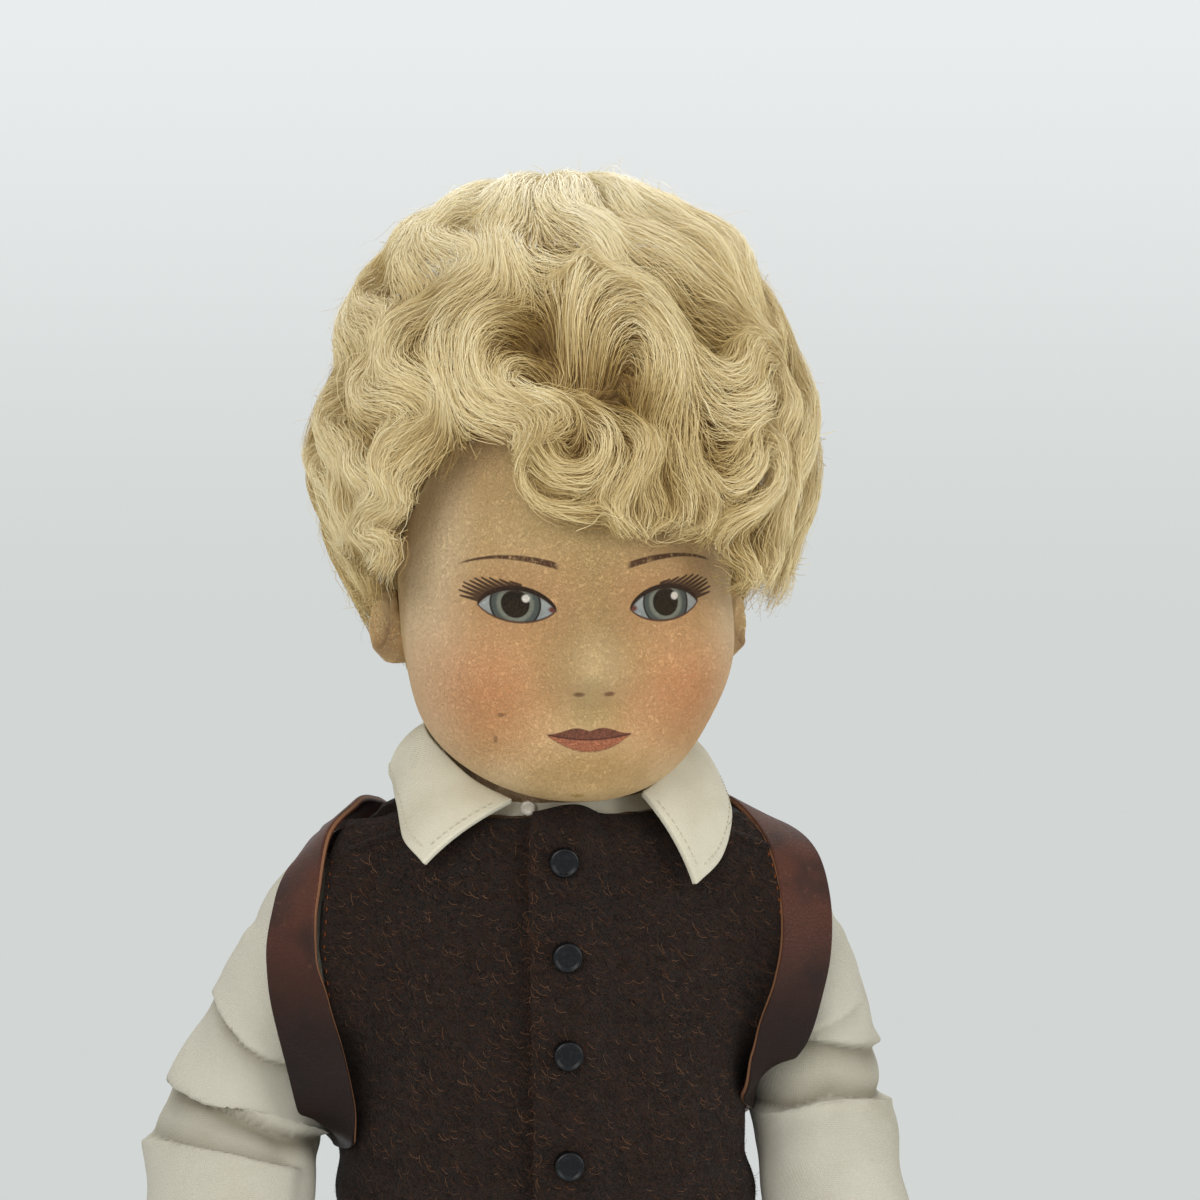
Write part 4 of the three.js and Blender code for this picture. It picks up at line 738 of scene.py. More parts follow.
def thread_piece(name, points, quads, ends, tones, material, slot, body):
    """Many threads as one piece. With no body, the piece rides on none."""
    mesh = bpy.data.meshes.new(name)
    mesh.vertices.add(points.size // 3)
    mesh.vertices.foreach_set("co", in_frame(points.reshape(-1, 3)).ravel())
    mesh.loops.add(quads.size + ends.size)
    mesh.loops.foreach_set("vertex_index", np.concatenate([quads.ravel(), ends.ravel()]).astype(np.int32))
    mesh.polygons.add(len(quads) + len(ends))
    starts = np.concatenate([np.arange(len(quads)) * 4, quads.size + np.arange(len(ends)) * 3])
    mesh.polygons.foreach_set("loop_start", starts.astype(np.int32))
    mesh.update(calc_edges=True)
    mesh.validate()
    mark(mesh, "tone", np.repeat(tones[..., None], points.shape[2], -1))
    mesh.shade_smooth()
    piece = bpy.data.objects.new(name, mesh)
    scene.collection.objects.link(piece)
    return belongs(piece, material, slot, body)


def mark(mesh, name, values):
    """Keeps a value at each point, for the finish to read."""
    attribute = mesh.attributes.new(name, "FLOAT", "POINT")
    attribute.data.foreach_set("value", values.ravel().astype(np.float32))


def stitches(name, line, out, pitch, length, thick, material, slot, body):
    """Running stitches along a line of points, each a short thread that stands out in the middle."""
    line, out = np.asarray(line, float), np.asarray(out, float)
    step = np.linalg.norm(np.diff(line, axis=0), axis=1)
    far = np.concatenate([[0], step.cumsum()])
    starts = np.arange(pitch * 0.3, far[-1] - length, pitch)
    places = starts[:, None] + np.linspace(0, length, 5)[None]
    spots = np.stack([np.interp(places, far, line[:, i]) for i in range(3)], -1)
    ways = np.stack([np.interp(places, far, out[:, i]) for i in range(3)], -1)
    rise = np.array([-0.1, 0.1, 0.16, 0.1, -0.1])[None, :, None]
    radii = np.broadcast_to(thick * np.array([0.6, 1, 1, 1, 0.6]), places.shape)
    return strand_mesh(name, spots + ways * rise, radii, np.full(places.shape, 0.5), material, slot, body)


pale_thread, thread_shader, _ = mottled("pale_thread", "c6bea6", "ded7c3", 0.35, 0.65, 3000.0, 2.0)
set_sockets(thread_shader, Roughness=0.8)
inner = slice(4, -4)
hems = [stitches(f"collar_{name}_stitches", (leaf_points + leaf_out * 0.75)[row], leaf_out[row], 1.5, 1.1,
                 0.13, pale_thread, "shirt_cotton", "torso")
        for name, row in (("hem", (inner, -4)), ("right", (3, inner)), ("left", (-4, inner)))]
shell, shell_shader, shell_bands = mottled("shell_button", "d5ccb8", "f1ece0", 0.35, 0.65, 500.0, 3.0, 2.0)
set_sockets(shell_shader, Roughness=shell_bands * 0.2 + 0.22)
dress("shirt_button", shell)

# Sleeves: full cotton sleeves set into round armholes, folded over at the elbow and gathered to a cuff.
SLEEVE_RADIUS = 13.6
SLEEVE_ROWS = np.array([[0, .6, .64], [.04, .8, .84], [.1, .9, .95], [.2, .95, 1], [.285, 1, 1.06],
                        [.325, .96, 1], [.365, 1.0, 1.08], [.5, 1.03, 1.1], [.6, .93, 1], [.66, .76, .8],
                        [.7, .74, .78]]) * [1, SLEEVE_RADIUS, SLEEVE_RADIUS]
SLEEVE_ROOT = [[31.6, 18.2], [34.5, 18.4], [38, 18.2], [41.5, 17.2], [46, 15.4], [50.5, 12], [54.5, 7.6],
               [57.2, 2.8]]
# Folds over the front of each sleeve: 1 where the cloth above laps over, -1 where the cloth below does, then
# how far the lap stands out, how deep the hollow beside it is, and the fold's line across and up.
SLEEVE_FOLDS = {
    "right": [(1, 1.1, 1.7, [(-70, 294), (-66.2, 285.3), (-63.7, 279.3), (-60, 274.9), (-56.6, 272.7),
                             (-47, 269.5)]),
              (1, 1.6, 2.6, [(-84, 268), (-75.5, 266), (-68.8, 264.1), (-63.4, 261.8), (-57.6, 259.7),
                             (-44, 254)]),
              (-1, 2.6, 1.6, [(-88, 254.8), (-72.3, 254.4), (-62.7, 253.5), (-57.6, 252.5), (-50, 250.8)])],
    "left": [(1, 0.5, 0.7, [(38, 272), (51.5, 275.5), (57.1, 277.5), (63.4, 280.4)]),
             (1, 1.9, 2.2, [(38, 275), (50.2, 273.3), (54.5, 272.6), (59.3, 271.4), (62.8, 270.8),
                            (76, 266)]),
             (-1, 2.4, 2.0, [(34, 258.5), (45.9, 258.3), (50.2, 259.9), (54.6, 261.5), (59.4, 260.7),
                             (76, 257.5)])]}
# How much fuller each sleeve is towards its elbow, in millimetres, and at what share of the arm.
FULLNESS = {"right": (4.8, 0.41), "left": (0.4, 0.36)}
# Painted shade: the sleeves and cuffs take a darker copy of the shirt's cotton, as they catch less light.
shaded_sleeve_cotton = cotton("shaded_sleeve_cotton", "b4ae9b", "c8c3b3", "d6d2c5")


def lapping(x, z, lap, stand, hollow, line):
    """How far a fold pushes the cloth out: one side stands up and laps over a hollow on the other."""
    line = np.array(line, float)
    gap = lap * (z - np.interp(x, line[:, 0], line[:, 1]))
    within = smooth(x, line[0, 0], line[0, 0] + 4) * (1 - smooth(x, line[-1, 0] - 4, line[-1, 0]))
    top = smooth(gap, -0.7, 0.5)
    lap_out = top * stand * np.exp(-np.maximum(gap, 0) / 5.5)
    return within * (lap_out - (1 - top) * hollow * np.exp(np.minimum(gap, 0) / 3.4))


for side, sign in SIDES.items():
    line = arm_line(side)
    sleeve = melted(f"sleeve_{side}_cotton", 0.78, 15, turned_root("root", SHOULDER_Z, sign, SLEEVE_ROOT),
                    tube("limb", line, SLEEVE_ROWS, 0.0, 0.668, 0.0))

    def sleeve_depth(points, normals):
        """Slack all along, fullness over the elbow, gathers at the cuff, and folds; none at the armhole."""
        share, spoke = near_line(points, line, np.linspace(0, 0.7, 281))
        x, z = points[:, 0], points[:, 2]
        round_arm = np.arctan2(spoke[:, 1], sign * spoke[:, 0])
        slant = share * 100 + 5 * np.sin(round_arm + 0.8)
        push = 0.4 * np.sin(slant * 0.5 + np.sin(round_arm * 2)) * smooth(share, 0.08, 0.2)
        fuller, at = FULLNESS[side]
        push += fuller * bell(share - at, 0.19) * (0.5 + 0.5 * np.cos(round_arm))
        push += 0.45 * smooth(share, 0.58, 0.65) * np.sin(round_arm * 15 + 2 * np.sin(share * 30))
        facing = smooth(-normals[:, 1], -0.45, 0.3)
        folds = [facing * lapping(x, z, *fold) for fold in SLEEVE_FOLDS[side]]
        # The hollows beside the folds are kept, and the cotton paints shade into them.
        mark(sleeve.data, "crease", np.clip(-np.min(folds, axis=0) / 1.5, 0, 1))
        push += sum(folds)
        if side == "right":  # fuller low down on its inner side
            push += 2.2 * smooth(x, -55, -48) * bell(z - 254, 6)
        return push * smooth(np.abs(x), 38, 46)

    push_out(sleeve, sleeve_depth)
    apply(sleeve, "SMOOTH", factor=0.4, iterations=2)
    belongs(sleeve, shaded_sleeve_cotton, "shirt_cotton", f"arm_{side}", f"sleeve_{side}")

# Cuffs: a folded cotton band buttoned round each wrist with a small shell button.
for side in SIDES:
    points = swept(arm_line(side), ARM_ROWS, np.linspace(0.668, 0.752, 12), 2.0, 64)
    cuff = cloth(f"cuff_{side}_cotton", points, CUFF_WALL)
    bevelled(cuff, *COTTON_EDGE)
    belongs(cuff, shaded_sleeve_cotton, "shirt_cotton", f"arm_{side}", f"cuff_{side}")
    dress(f"cuff_button_{side}", shell)

# Waistcoat: thick dark brown felt in two fronts, a back and two shoulder yokes. The left front laps over
# the right one and is closed by four buttons. The edges are left raw, and the nap stands up all over.
VEST_HEM_Z, VEST_TOP_Z, VEST_WALL, VEST_GAP, RAW_EDGE = 236.0, 317.4, 0.002, 2.6, (0.0006, 0.9)
# Points each way over a front, and those among them where stitches run beside the armhole.
FRONT_POINTS, SEAM, ARMHOLE_RADIUS = 84, (slice(50, 78), 78), 0.019
vest_felt = felt("vest_felt", "100a06", "1b110b", "38251b", 0.5)
# The edge of a front's armhole: height, distance from the middle, and distance back.
ARMHOLE_EDGE = np.array([[262, 40.2, -2], [268, 40.8, -6], [274, 41.6, -12], [280, 42.6, -17],
                         [287, 44, -19.4], [295, 45, -20], [303, 44.4, -19], [309, 43.2, -15.5],
                         [313.5, 41.4, -12], [317.4, 38.2, -8.5]])


def vest_offset(angle, z):
    """How far the felt stands off the torso: flared at the hem, fuller at the sides, most at the right."""
    flare = 2.4 * (1 - smooth(z, WAIST_Z + 0.4, WAIST_Z + 9))
    fuller = 1.3 * np.sin(angle) ** 2 * (1 - smooth(z, 285, 312))
    right_side = 2.8 * np.maximum(-np.sin(angle), 0) ** 3 * bell(z - 256, 12)
    return VEST_GAP + flare + fuller + right_side


def vest_cut(name, points, node, armholes):
    """Felt of an even thickness over a sheet of points, with its raw edges rubbed round."""
    panel = sewn_grid(name, points)
    middle = len(panel.data.vertices) // 2
    if points_of(panel)[middle, :2] @ vertex_values(panel, "normal")[middle, :2] < 0:
        panel.data.flip_normals()
    apply(panel, "SOLIDIFY", thickness=VEST_WALL, offset=0.0)
    for sign in armholes:
        bpy.ops.object.select_all(action="DESELECT")
        bpy.ops.mesh.primitive_cylinder_add(vertices=72, radius=ARMHOLE_RADIUS, depth=0.05,
                                            rotation=(0, math.pi / 2, 0),
                                            location=in_frame([sign * 46, 0, SHOULDER_Z]))
        cutter = bpy.context.object
        apply(panel, "BOOLEAN", object=cutter, operation="DIFFERENCE", solver="EXACT")
        bpy.data.objects.remove(cutter)
    bevelled(panel, *RAW_EDGE)
    only(panel)
    bpy.ops.object.shade_smooth_by_angle(angle=0.7)
    return belongs(panel, vest_felt, "vest_felt", None, node)


def vest_front(sign, from_degrees, lift, wider):
    """Half front from the middle to the side seam, and up the edge of the armhole over the sleeve."""
    share = np.linspace(0, 1, FRONT_POINTS)[None, :]
    z = np.linspace(VEST_HEM_Z, VEST_TOP_Z, FRONT_POINTS)[:, None]

    def over(degrees):
        angle = np.radians(sign * degrees)
        return over_torso(angle, z, vest_offset(angle, z) + lift(degrees))

    plain = over(from_degrees + (89.8 - from_degrees) * share)
    turn_off = 56 - 14 * smooth(z, 300, 317)
    chest = over(from_degrees + (turn_off - from_degrees) * np.minimum(share / 0.72, 1))
    edge_x, edge_y = (np.interp(z, ARMHOLE_EDGE[:, 0], ARMHOLE_EDGE[:, i]) for i in (1, 2))
    edge = np.stack([sign * (edge_x + wider), edge_y, z], -1)
    wing = chest + (edge - chest) * smooth(share, 0.5, 1.0)[..., None] ** 1.1
    points = plain + (wing - plain) * smooth(z, 262, 279)[..., None]
    points[..., 2] += 2.0 * bell(points[..., 0] - 2, 6.5) * smooth(z, 304, VEST_TOP_Z)
    return points


def lapped(degrees):
    return 2.4 * (1 - smooth(degrees, 3, 12))


def unlapped(degrees):
    return 0 * degrees


fronts = {"right": vest_front(-1, 0.0, unlapped, 1.2), "left": vest_front(1, -8.0, lapped, -0.5)}
vests = {side: vest_cut(f"vest_{side}_felt", fronts[side], f"vest_{side}_front", ()) for side in SIDES}
angle = np.radians(np.linspace(90.2, 269.8, 150))[None, :]
z = np.linspace(VEST_HEM_Z, VEST_TOP_Z, 76)[:, None]
back_points = over_torso(angle, z, vest_offset(angle, z))
vests["back"] = vest_cut("vest_back_felt", back_points, "vest_back", (-1, 1))
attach(vests["back"], "torso")
for side, sign in SIDES.items():
    out = np.linspace(0, 1, 30)[None, :]
    over = np.linspace(0, 1, 40)[:, None]
    yoke_z = 317.8 - 7.0 * out ** 1.5 + (2.0 - 1.4 * out) * np.sin(over * math.pi)
    yoke_y = -17 + 2 * out + (31 - 6 * out) * over
    yoke_x = sign * (20 + 23.8 * out + 0 * over)
    yoke = cloth(f"vest_{side}_yoke_felt", np.stack([yoke_x, yoke_y, yoke_z], -1), VEST_WALL, closed=False)
    bevelled(yoke, *RAW_EDGE)
    vests[f"{side}_yoke"] = belongs(yoke, vest_felt, "vest_felt", "torso")


def nap(name, piece, count, length, width, lean, tones, material, slot, body, keep, comb=0.0):
    """Fine loose fibres that stand off a felt surface, where keep says so, and are combed down."""
    mesh = piece.data
    mesh.calc_loop_triangles()
    corners = np.empty(len(mesh.loop_triangles) * 3, int)
    mesh.loop_triangles.foreach_get("vertices", corners)
    corners = points_of(piece)[corners.reshape(-1, 3)]
    first, second = corners[:, 1] - corners[:, 0], corners[:, 2] - corners[:, 0]
    square = np.cross(first, second)
    area = np.linalg.norm(square, axis=1)
    way = square / np.maximum(area, 1e-12)[:, None]
    chance = area * keep(corners.mean(1), way)
    chosen = felt_rng.choice(len(area), count, p=chance / chance.sum())
    a, b = felt_rng.random((2, count, 1))
    a, b = np.where(a + b > 1, 1 - a, a), np.where(a + b > 1, 1 - b, b)
    root = corners[chosen, 0] + a * first[chosen] + b * second[chosen]
    up = way[chosen]
    aside = unit(np.cross(up, np.cross(felt_rng.normal(size=(count, 3)) + np.array([0, 0, -comb]), up)))
    other = np.cross(up, aside)
    steps = np.linspace(0, 1, 4)[None, :, None]
    size = length * felt_rng.uniform(0.4, 1.3, (count, 1, 1))
    curl = felt_rng.uniform(0.5, 2.6, (count, 1, 1))
    paths = (root[:, None] - 0.1 * up[:, None] + up[:, None] * size * (1 - lean) * np.sin(steps * 1.9)
             + aside[:, None] * size * lean * np.sin(steps * curl) / curl * 2
             + other[:, None] * size * lean * (1 - np.cos(steps * curl)) / curl * 2)
    shade = np.broadcast_to(felt_rng.uniform(*tones, (count, 1)), paths.shape[:2])
    return ribbons(name, paths, np.full(paths.shape[:2], width), up[:, None], shade, material, slot, body)


def ribbons(name, paths, widths, facing, *rest):
    """Flat fibres along the paths, that face a given way."""
    count, steps = paths.shape[:2]
    across = unit(np.cross(np.gradient(paths, axis=1), facing)) * widths[..., None] / 2
    index = np.arange(count * steps * 2).reshape(count, steps, 2)
    here, there = index[:, :-1], index[:, 1:]
    quads = np.stack([here[..., 0], here[..., 1], there[..., 1], there[..., 0]], -1).reshape(-1, 4)
    points, no_ends = np.stack([paths - across, paths + across], 2), np.empty((0, 3), int)
    return thread_piece(name, points, quads, no_ends, *rest)


def fuzz_finish(name, stops):
    """Fibres whose colour goes by their tone."""
    material, shader, place = new_finish(name)
    shade = place.node("Attribute", {}, "Fac", attribute_name="tone")
    set_sockets(shader, Base_Color=place.node("ValToRGB", {0: shade}, stops=stops), Roughness=0.9,
                Specular_IOR_Level=0.1)
    return material


def outside_only(spot, way):
    return (spot[:, :2] * way[:, :2]).sum(1) > 0


def top_only(spot, way):
    return way[:, 2] > 0


def lap_only(spot, way):
    return (spot[:, 0] < fronts["left"][:, 0, 0].mean() + 1.0) & (spot[:, 1] < -10)


def with_arm(piece):
    """Bakes the piece's placing into its points; the piece rides on no body."""
    bends(piece)


felt_rng = np.random.default_rng(11)
vest_nap = fuzz_finish("vest_nap", [(0.0, "150d09"), (0.6, "34231a"), (0.92, "543a2c"), (1.0, "8a6448")])
rust_thread = fuzz_finish("rust_thread", [(0.0, "6b3519"), (1.0, "96552c")])
any_tone, vest_fibre = (0.0, 1.0), (vest_nap, "vest_felt")
for side in SIDES:
    nap(f"vest_{side}_yoke_nap", vests[f"{side}_yoke"], 1500, 1.5, 0.05, 0.86, any_tone, *vest_fibre, "torso",
        top_only, 1.0)
back_nap = nap("vest_back_nap", vests["back"], 5000, 1.6, 0.06, 0.86, any_tone, *vest_fibre, "torso",
               outside_only, 4.0)
for side in SIDES:
    grown = [nap(f"vest_{side}_nap", vests[side], 11000, 1.5, 0.052, 0.86, any_tone, *vest_fibre, None,
                 outside_only, 4.0)]
    out = square_to(fronts[side])
    out *= np.sign((out[..., :2] * fronts[side][..., :2]).sum(-1))[..., None]
    seam, seam_out = fronts[side][SEAM], out[SEAM]
    grown.append(stitches(f"vest_{side}_stitches", seam + seam_out * 1.1, seam_out, 2.4, 0.8, 0.15,
                          rust_thread, "vest_felt", None))
    if side == "left":
        grown.append(nap("vest_lap_fringe", vests[side], 1300, 1.7, 0.05, 0.6, (0.5, 1.0), *vest_fibre, None,
                         lap_only))
    for piece in (vests[side], *grown):
        with_arm(piece)

# Waistcoat buttons: moulded, blue-black and glossy, with a raised rim and a dished middle.
gloss, gloss_shader, gloss_dust = mottled("button_gloss", "040508", "0d1016", 0.4, 0.75, 1200.0, 4.0)
set_sockets(gloss_shader, Roughness=eased(gloss_dust, 0.35, 0.8) * 0.25 + 0.12, Specular_IOR_Level=0.3)
# From the rim inwards: how wide each ring of the front is, and how far what is inside it moves, in metres.
BUTTON_RINGS = [(0.00025, -0.0003), (0.0003, 0), (0.00025, 0.00028), (0.001, -0.00012)]
BUTTON_RADIUS, BUTTON_THICK = 0.00285, 0.0021
for number in range(1, 5):
    low, high = (np.array(corner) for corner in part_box(f"vest_button_{number}"))
    centre = (low + high) / 2 + np.array([0, 0.0004, 0])
    bpy.ops.object.select_all(action="DESELECT")
    bpy.ops.mesh.primitive_cylinder_add(vertices=48, radius=BUTTON_RADIUS, depth=BUTTON_THICK,
                                        end_fill_type="NGON", rotation=(math.pi / 2, 0, 0),
                                        location=centre)
    button = bpy.context.object
    button.name = button.data.name = f"vest_button_{number}_gloss"
    bpy.ops.object.transform_apply(location=True, rotation=True, scale=True)
    with editing(button):
        bpy.ops.mesh.select_all(action="DESELECT")
    for face in button.data.polygons:
        face.select = face.normal.y < -0.9
    bpy.ops.object.mode_set(mode="EDIT")
    for width, depth in BUTTON_RINGS:
        bpy.ops.mesh.inset(thickness=width)
        if depth:
            bpy.ops.transform.translate(value=(0, depth, 0))
    bpy.ops.object.mode_set(mode="OBJECT")
    bevelled(button, 0.00014, 0.35, 3)
    button.data.shade_smooth()
    belongs(button, gloss, "button_gloss", "torso", f"vest_button_{number}")

# Head: felt pressed over a mould, stuffed hard, with the face painted on in oil colour. The neck is
# gathered on its disc.
HEAD_CENTRE = np.array([3.0, -4.0, 366.0])


def head_surface(azimuth, elevation, grow=0.0):
    """Points of the head with its nose, cheeks and jaw, from angles in radians, grown outwards in mm."""
    level = np.cos(elevation)
    w = np.stack([np.sin(azimuth) * level, -np.cos(azimuth) * level, np.sin(elevation)], -1)
    below = 42 - 11 * smooth(w[..., 1], -0.35, 0.45)
    height = np.where(w[..., 2] > 0, 54.0, below)
    power = np.where(w[..., 2] > 0, 2.0, 2 + 0.8 * smooth(-w[..., 2], 0, 0.4))
    reach = (np.abs(w[..., 0] / 32.5) ** power + np.abs(w[..., 1] / 38) ** power
             + np.abs(w[..., 2] / height) ** power) ** (-1 / power)
    spot = w * reach[..., None]
    front = smooth(-w[..., 1], 0.1, 0.5)
    x, y, z = (spot[..., i].copy() for i in range(3))
    nose = bell(x, 6) * bell(z + 15.5, np.where(z > -15.5, 11, 5))
    cheek = bell(np.abs(x) - 19, 10) * bell(z + 17, 10)
    hollow = bell(np.abs(x) - 14.5, 8) * bell(z + 3.6, 5)
    chin = bell(x, 13) * bell(z + 36, 8)
    jaw = bell(x, 32) * smooth(-z, 16, 38) * smooth(-y, 10, 28)
    nostril = bell(np.abs(x - 0.85) - 3.4, 1.6) * bell(z + 18.6, 1.8)
    mouth = bell(z + 29.0, 1.0) * bell(x - 0.5, 7.5)
    jowl = bell(np.abs(x) - 25, 9) * bell(z + 27, 9) * np.where(x < 0, 1.0, -1.0)
    lips = bell(x - 0.5, 6.5) * (bell(z + 30.8, 1.5) + 0.8 * bell(z + 27.4, 1.2))
    swell = front * (2.4 * cheek - 1.6 * hollow) + jowl * smooth(-w[..., 1], -0.1, 0.3)
    spot = spot + w * (swell + grow)[..., None]
    spot[..., 1] -= front * (8 * nose + 8 * chin + 0.7 * nostril + 0.8 * lips - 0.7 * mouth)
    spot[..., 2] -= 4.5 * jaw
    return spot + HEAD_CENTRE


skin, skin_shader, skin_place = new_finish("face_felt")
face_x, face_y, face_z = (skin_place.part(axis) * 1000.0 - (SHIFT + HEAD_CENTRE)[axis] for axis in range(3))
is_front = eased(face_y, -6.0, -14.0)
beside = abs(face_x - 1.0)


def spot_mask(x, z, centre, across, high, soft):
    """1 inside an ellipse on the face, 0 outside, with a soft rim."""
    far = (((x - centre[0]) / across) ** 2.0 + ((z - centre[1]) / high) ** 2.0) ** 0.5
    return eased(far, 1.0 + soft, 1.0 - soft)


def stroke_mask(x, z, start, end, thick):
    """A tapered brush stroke from start to end."""
    run = (end[0] - start[0], end[1] - start[1])
    length = run[0] ** 2 + run[1] ** 2
    share = ((x - start[0]) * (run[0] / length) + (z - start[1]) * (run[1] / length))
    share = share.math("MAXIMUM", 0.0).math("MINIMUM", 1.0)
    away = ((x - start[0] - share * run[0]) ** 2.0 + (z - start[1] - share * run[1]) ** 2.0) ** 0.5
    return eased(away - thick * 0.5 * (1.0 - share * 0.65), 0.14, -0.06)


# Touches of colour on the face, from first to last: face_x for one place or beside for one on each side,
# then its hue, middle, half width, half height, softness of the rim and strength.
TOUCHES = [
    # Painted shade between the eyes.
    (beside, "a18450", (0.0, -3.0), 6.5, 9.0, 0.9, 0.75),
    # Painted shade down each side of the nose.
    (beside, "b58a55", (8.0, -12.0), 3.5, 8.0, 0.9, 0.45),
    # Painted highlight on the nose.
    (face_x, "dcc08c", (1.0, -15.0), 6.0, 5.0, 0.85, 0.5),
    # Painted shadow under the nose.
    (face_x, "b49a62", (0.9, -24.0), 4.5, 3.0, 0.9, 0.6),
    # Painted shadow under the lower lip.
    (face_x, "a27c45", (0.5, -34.5), 8.5, 3.2, 0.9, 0.7),
    (face_x, "b58f57", (0.5, -38.0), 12.0, 4.5, 0.9, 0.5),
    (beside, "bb8455", (13.0, -2.0), 10.5, 7.0, 0.85, 0.7),
    (face_x, "7b4a2b", (-16.1, -24.4), 0.8, 0.4, 0.5, 0.8),
    (face_x, "7a4724", (-16.9, -29.3), 0.4, 0.7, 0.5, 0.8),
    (face_x, "a57e2c", (-1.5, -40.0), 1.1, 0.45, 0.5, 0.8)]
colour = painted("d2ae78", "dcba88", eased(grain(skin_place, 70.0, 3.0), 0.3, 0.65))
# Painted shadow of the fringe over the middle of the forehead.
fringe_shadow = eased(face_z, -6.0, 12.0) * eased(abs(face_x - 3.0), 26.0, 10.0)
colour = painted(colour, "bd9f69", fringe_shadow * is_front * 0.8)
# Painted light: the sides of the face, and lower down the sides of the jaw, are lighter, where the fuzz of
# the felt catches light at the rim.
colour = painted(colour, "fbe2b8", eased(beside, 19.0, 29.0) * is_front * 0.95)
colour = painted(colour, "f3d6a6", eased(face_z, -31.0, -38.0) * eased(beside, 9.0, 16.0) * is_front * 0.8)
right_flush = spot_mask(face_x, face_z, (-19.5, -20.0), 12.0, 12.0, 0.95)
left_flush = spot_mask(face_x, face_z, (18.4, -20.5), 12.0, 11.5, 0.95)
colour = painted(colour, "cb7c4b", right_flush.math("MAXIMUM", left_flush) * is_front * 0.76)
for across, code, place, wide, high, soft, strength in TOUCHES:
    colour = painted(colour, code, spot_mask(across, face_z, place, wide, high, soft) * is_front * strength)
skin_net, skin_grain = fibre_net(skin_place, 1250.0), grain(skin_place, 1300.0, 2.0)
colour = painted(colour, "e9cd9f", skin_net * 0.2)
colour = painted(colour, "9f7543", eased(skin_grain, 0.55, 0.72) * 0.2)

# Eyes: the lids are two arcs between the corners, with the iris, its rim, the pupil and a glint inside.
EYE_MIDDLE, EYE_HALF = 14.05, 6.95
share = (beside - EYE_MIDDLE) / EYE_HALF
arch = (1.0 - share * share).math("MAXIMUM", 0.0) ** 0.72
corner = share * 0.35 - 4.15
upper_lid, lower_lid = corner + arch * 3.5, corner - arch * 2.8
opening = eased(upper_lid - face_z, -0.1, 0.14) * eased(face_z - lower_lid, -0.1, 0.14) * is_front
from_eye = ((beside - 14.3) ** 2.0 + (face_z + 3.6) ** 2.0) ** 0.5
eyeball = painted("969d9d", "b0b5b3", eased(face_z, -7.0, -2.0))
iris = painted("4b5655", "7f8477", eased(from_eye, 3.7, 3.0))
iris = painted(iris, "12161a", eased(from_eye, 4.1, 4.45))
iris = painted(iris, "07090b", eased(from_eye, 2.7, 2.45))
eyeball = painted(eyeball, iris, eased(from_eye, 4.75, 4.5))
for glint_x in (-11.4, 17.2):
    eyeball = painted(eyeball, "efe6da", spot_mask(face_x, face_z, (glint_x, -2.6), 0.7, 0.7, 0.3))
eyeball = painted(eyeball, "6e3a34", spot_mask(beside, face_z, (7.7, -4.5), 0.7, 0.55, 0.5))
eyeball = painted(eyeball, "4a3a3a", eased(upper_lid - face_z, 1.1, 0.2) * 0.55)
colour = painted(colour, eyeball, opening)
in_eye = eased(abs(share), 1.04, 0.98)
colour = painted(colour, "1f0f10", eased(abs(face_z - upper_lid), 0.62, 0.34) * in_eye * is_front)
colour = painted(colour, "4a2a26", eased(abs(face_z - lower_lid), 0.3, 0.1) * in_eye * is_front * 0.85)
LASHES = [((20.8, -3.1), (23.9, -2.5)), ((20.5, -2.6), (24.1, -1.5)), ((20.1, -2.2), (23.5, -0.7)),
          ((19.5, -1.7), (23.3, 0.0)), ((18.8, -1.3), (22.2, 0.4)), ((18.0, -1.0), (21.4, 0.9)),
          ((17.1, -0.7), (20.2, 1.1)), ((16.0, -0.45), (18.8, 1.1)), ((14.8, -0.25), (17.0, 0.85)),
          ((13.5, -0.15), (15.2, 0.55))]
lashes = stroke_mask(beside, face_z, *LASHES[0], 0.74)
for start, end in LASHES[1:]:
    lashes = lashes.math("MAXIMUM", stroke_mask(beside, face_z, start, end, 0.74))
colour = painted(colour, "2b1516", lashes * is_front * 0.92)

# Brows: an arc each, steeper outside its peak, thinner outwards and broken by the felt.
BROW_PEAK_X, BROW_PEAK_Z = 16.5, 5.15
from_peak = beside - BROW_PEAK_X
inner_arc, outer_arc = (from_peak * from_peak * bend + BROW_PEAK_Z for bend in (-0.0161, -0.0277))
brow_line = inner_arc + (outer_arc - inner_arc) * eased(from_peak, -0.1, 0.1)
brow_half = eased(beside, 24.0, 6.0) * 0.45 + 0.16
brow = eased(abs(face_z - brow_line) - brow_half, 0.22, -0.12)
brow = brow * eased(beside, 6.2, 7.4) * eased(beside, 24.6, 22.5) * is_front
colour = painted(colour, "482a20", brow * eased(skin_grain, 0.12, 0.5) * 0.95)

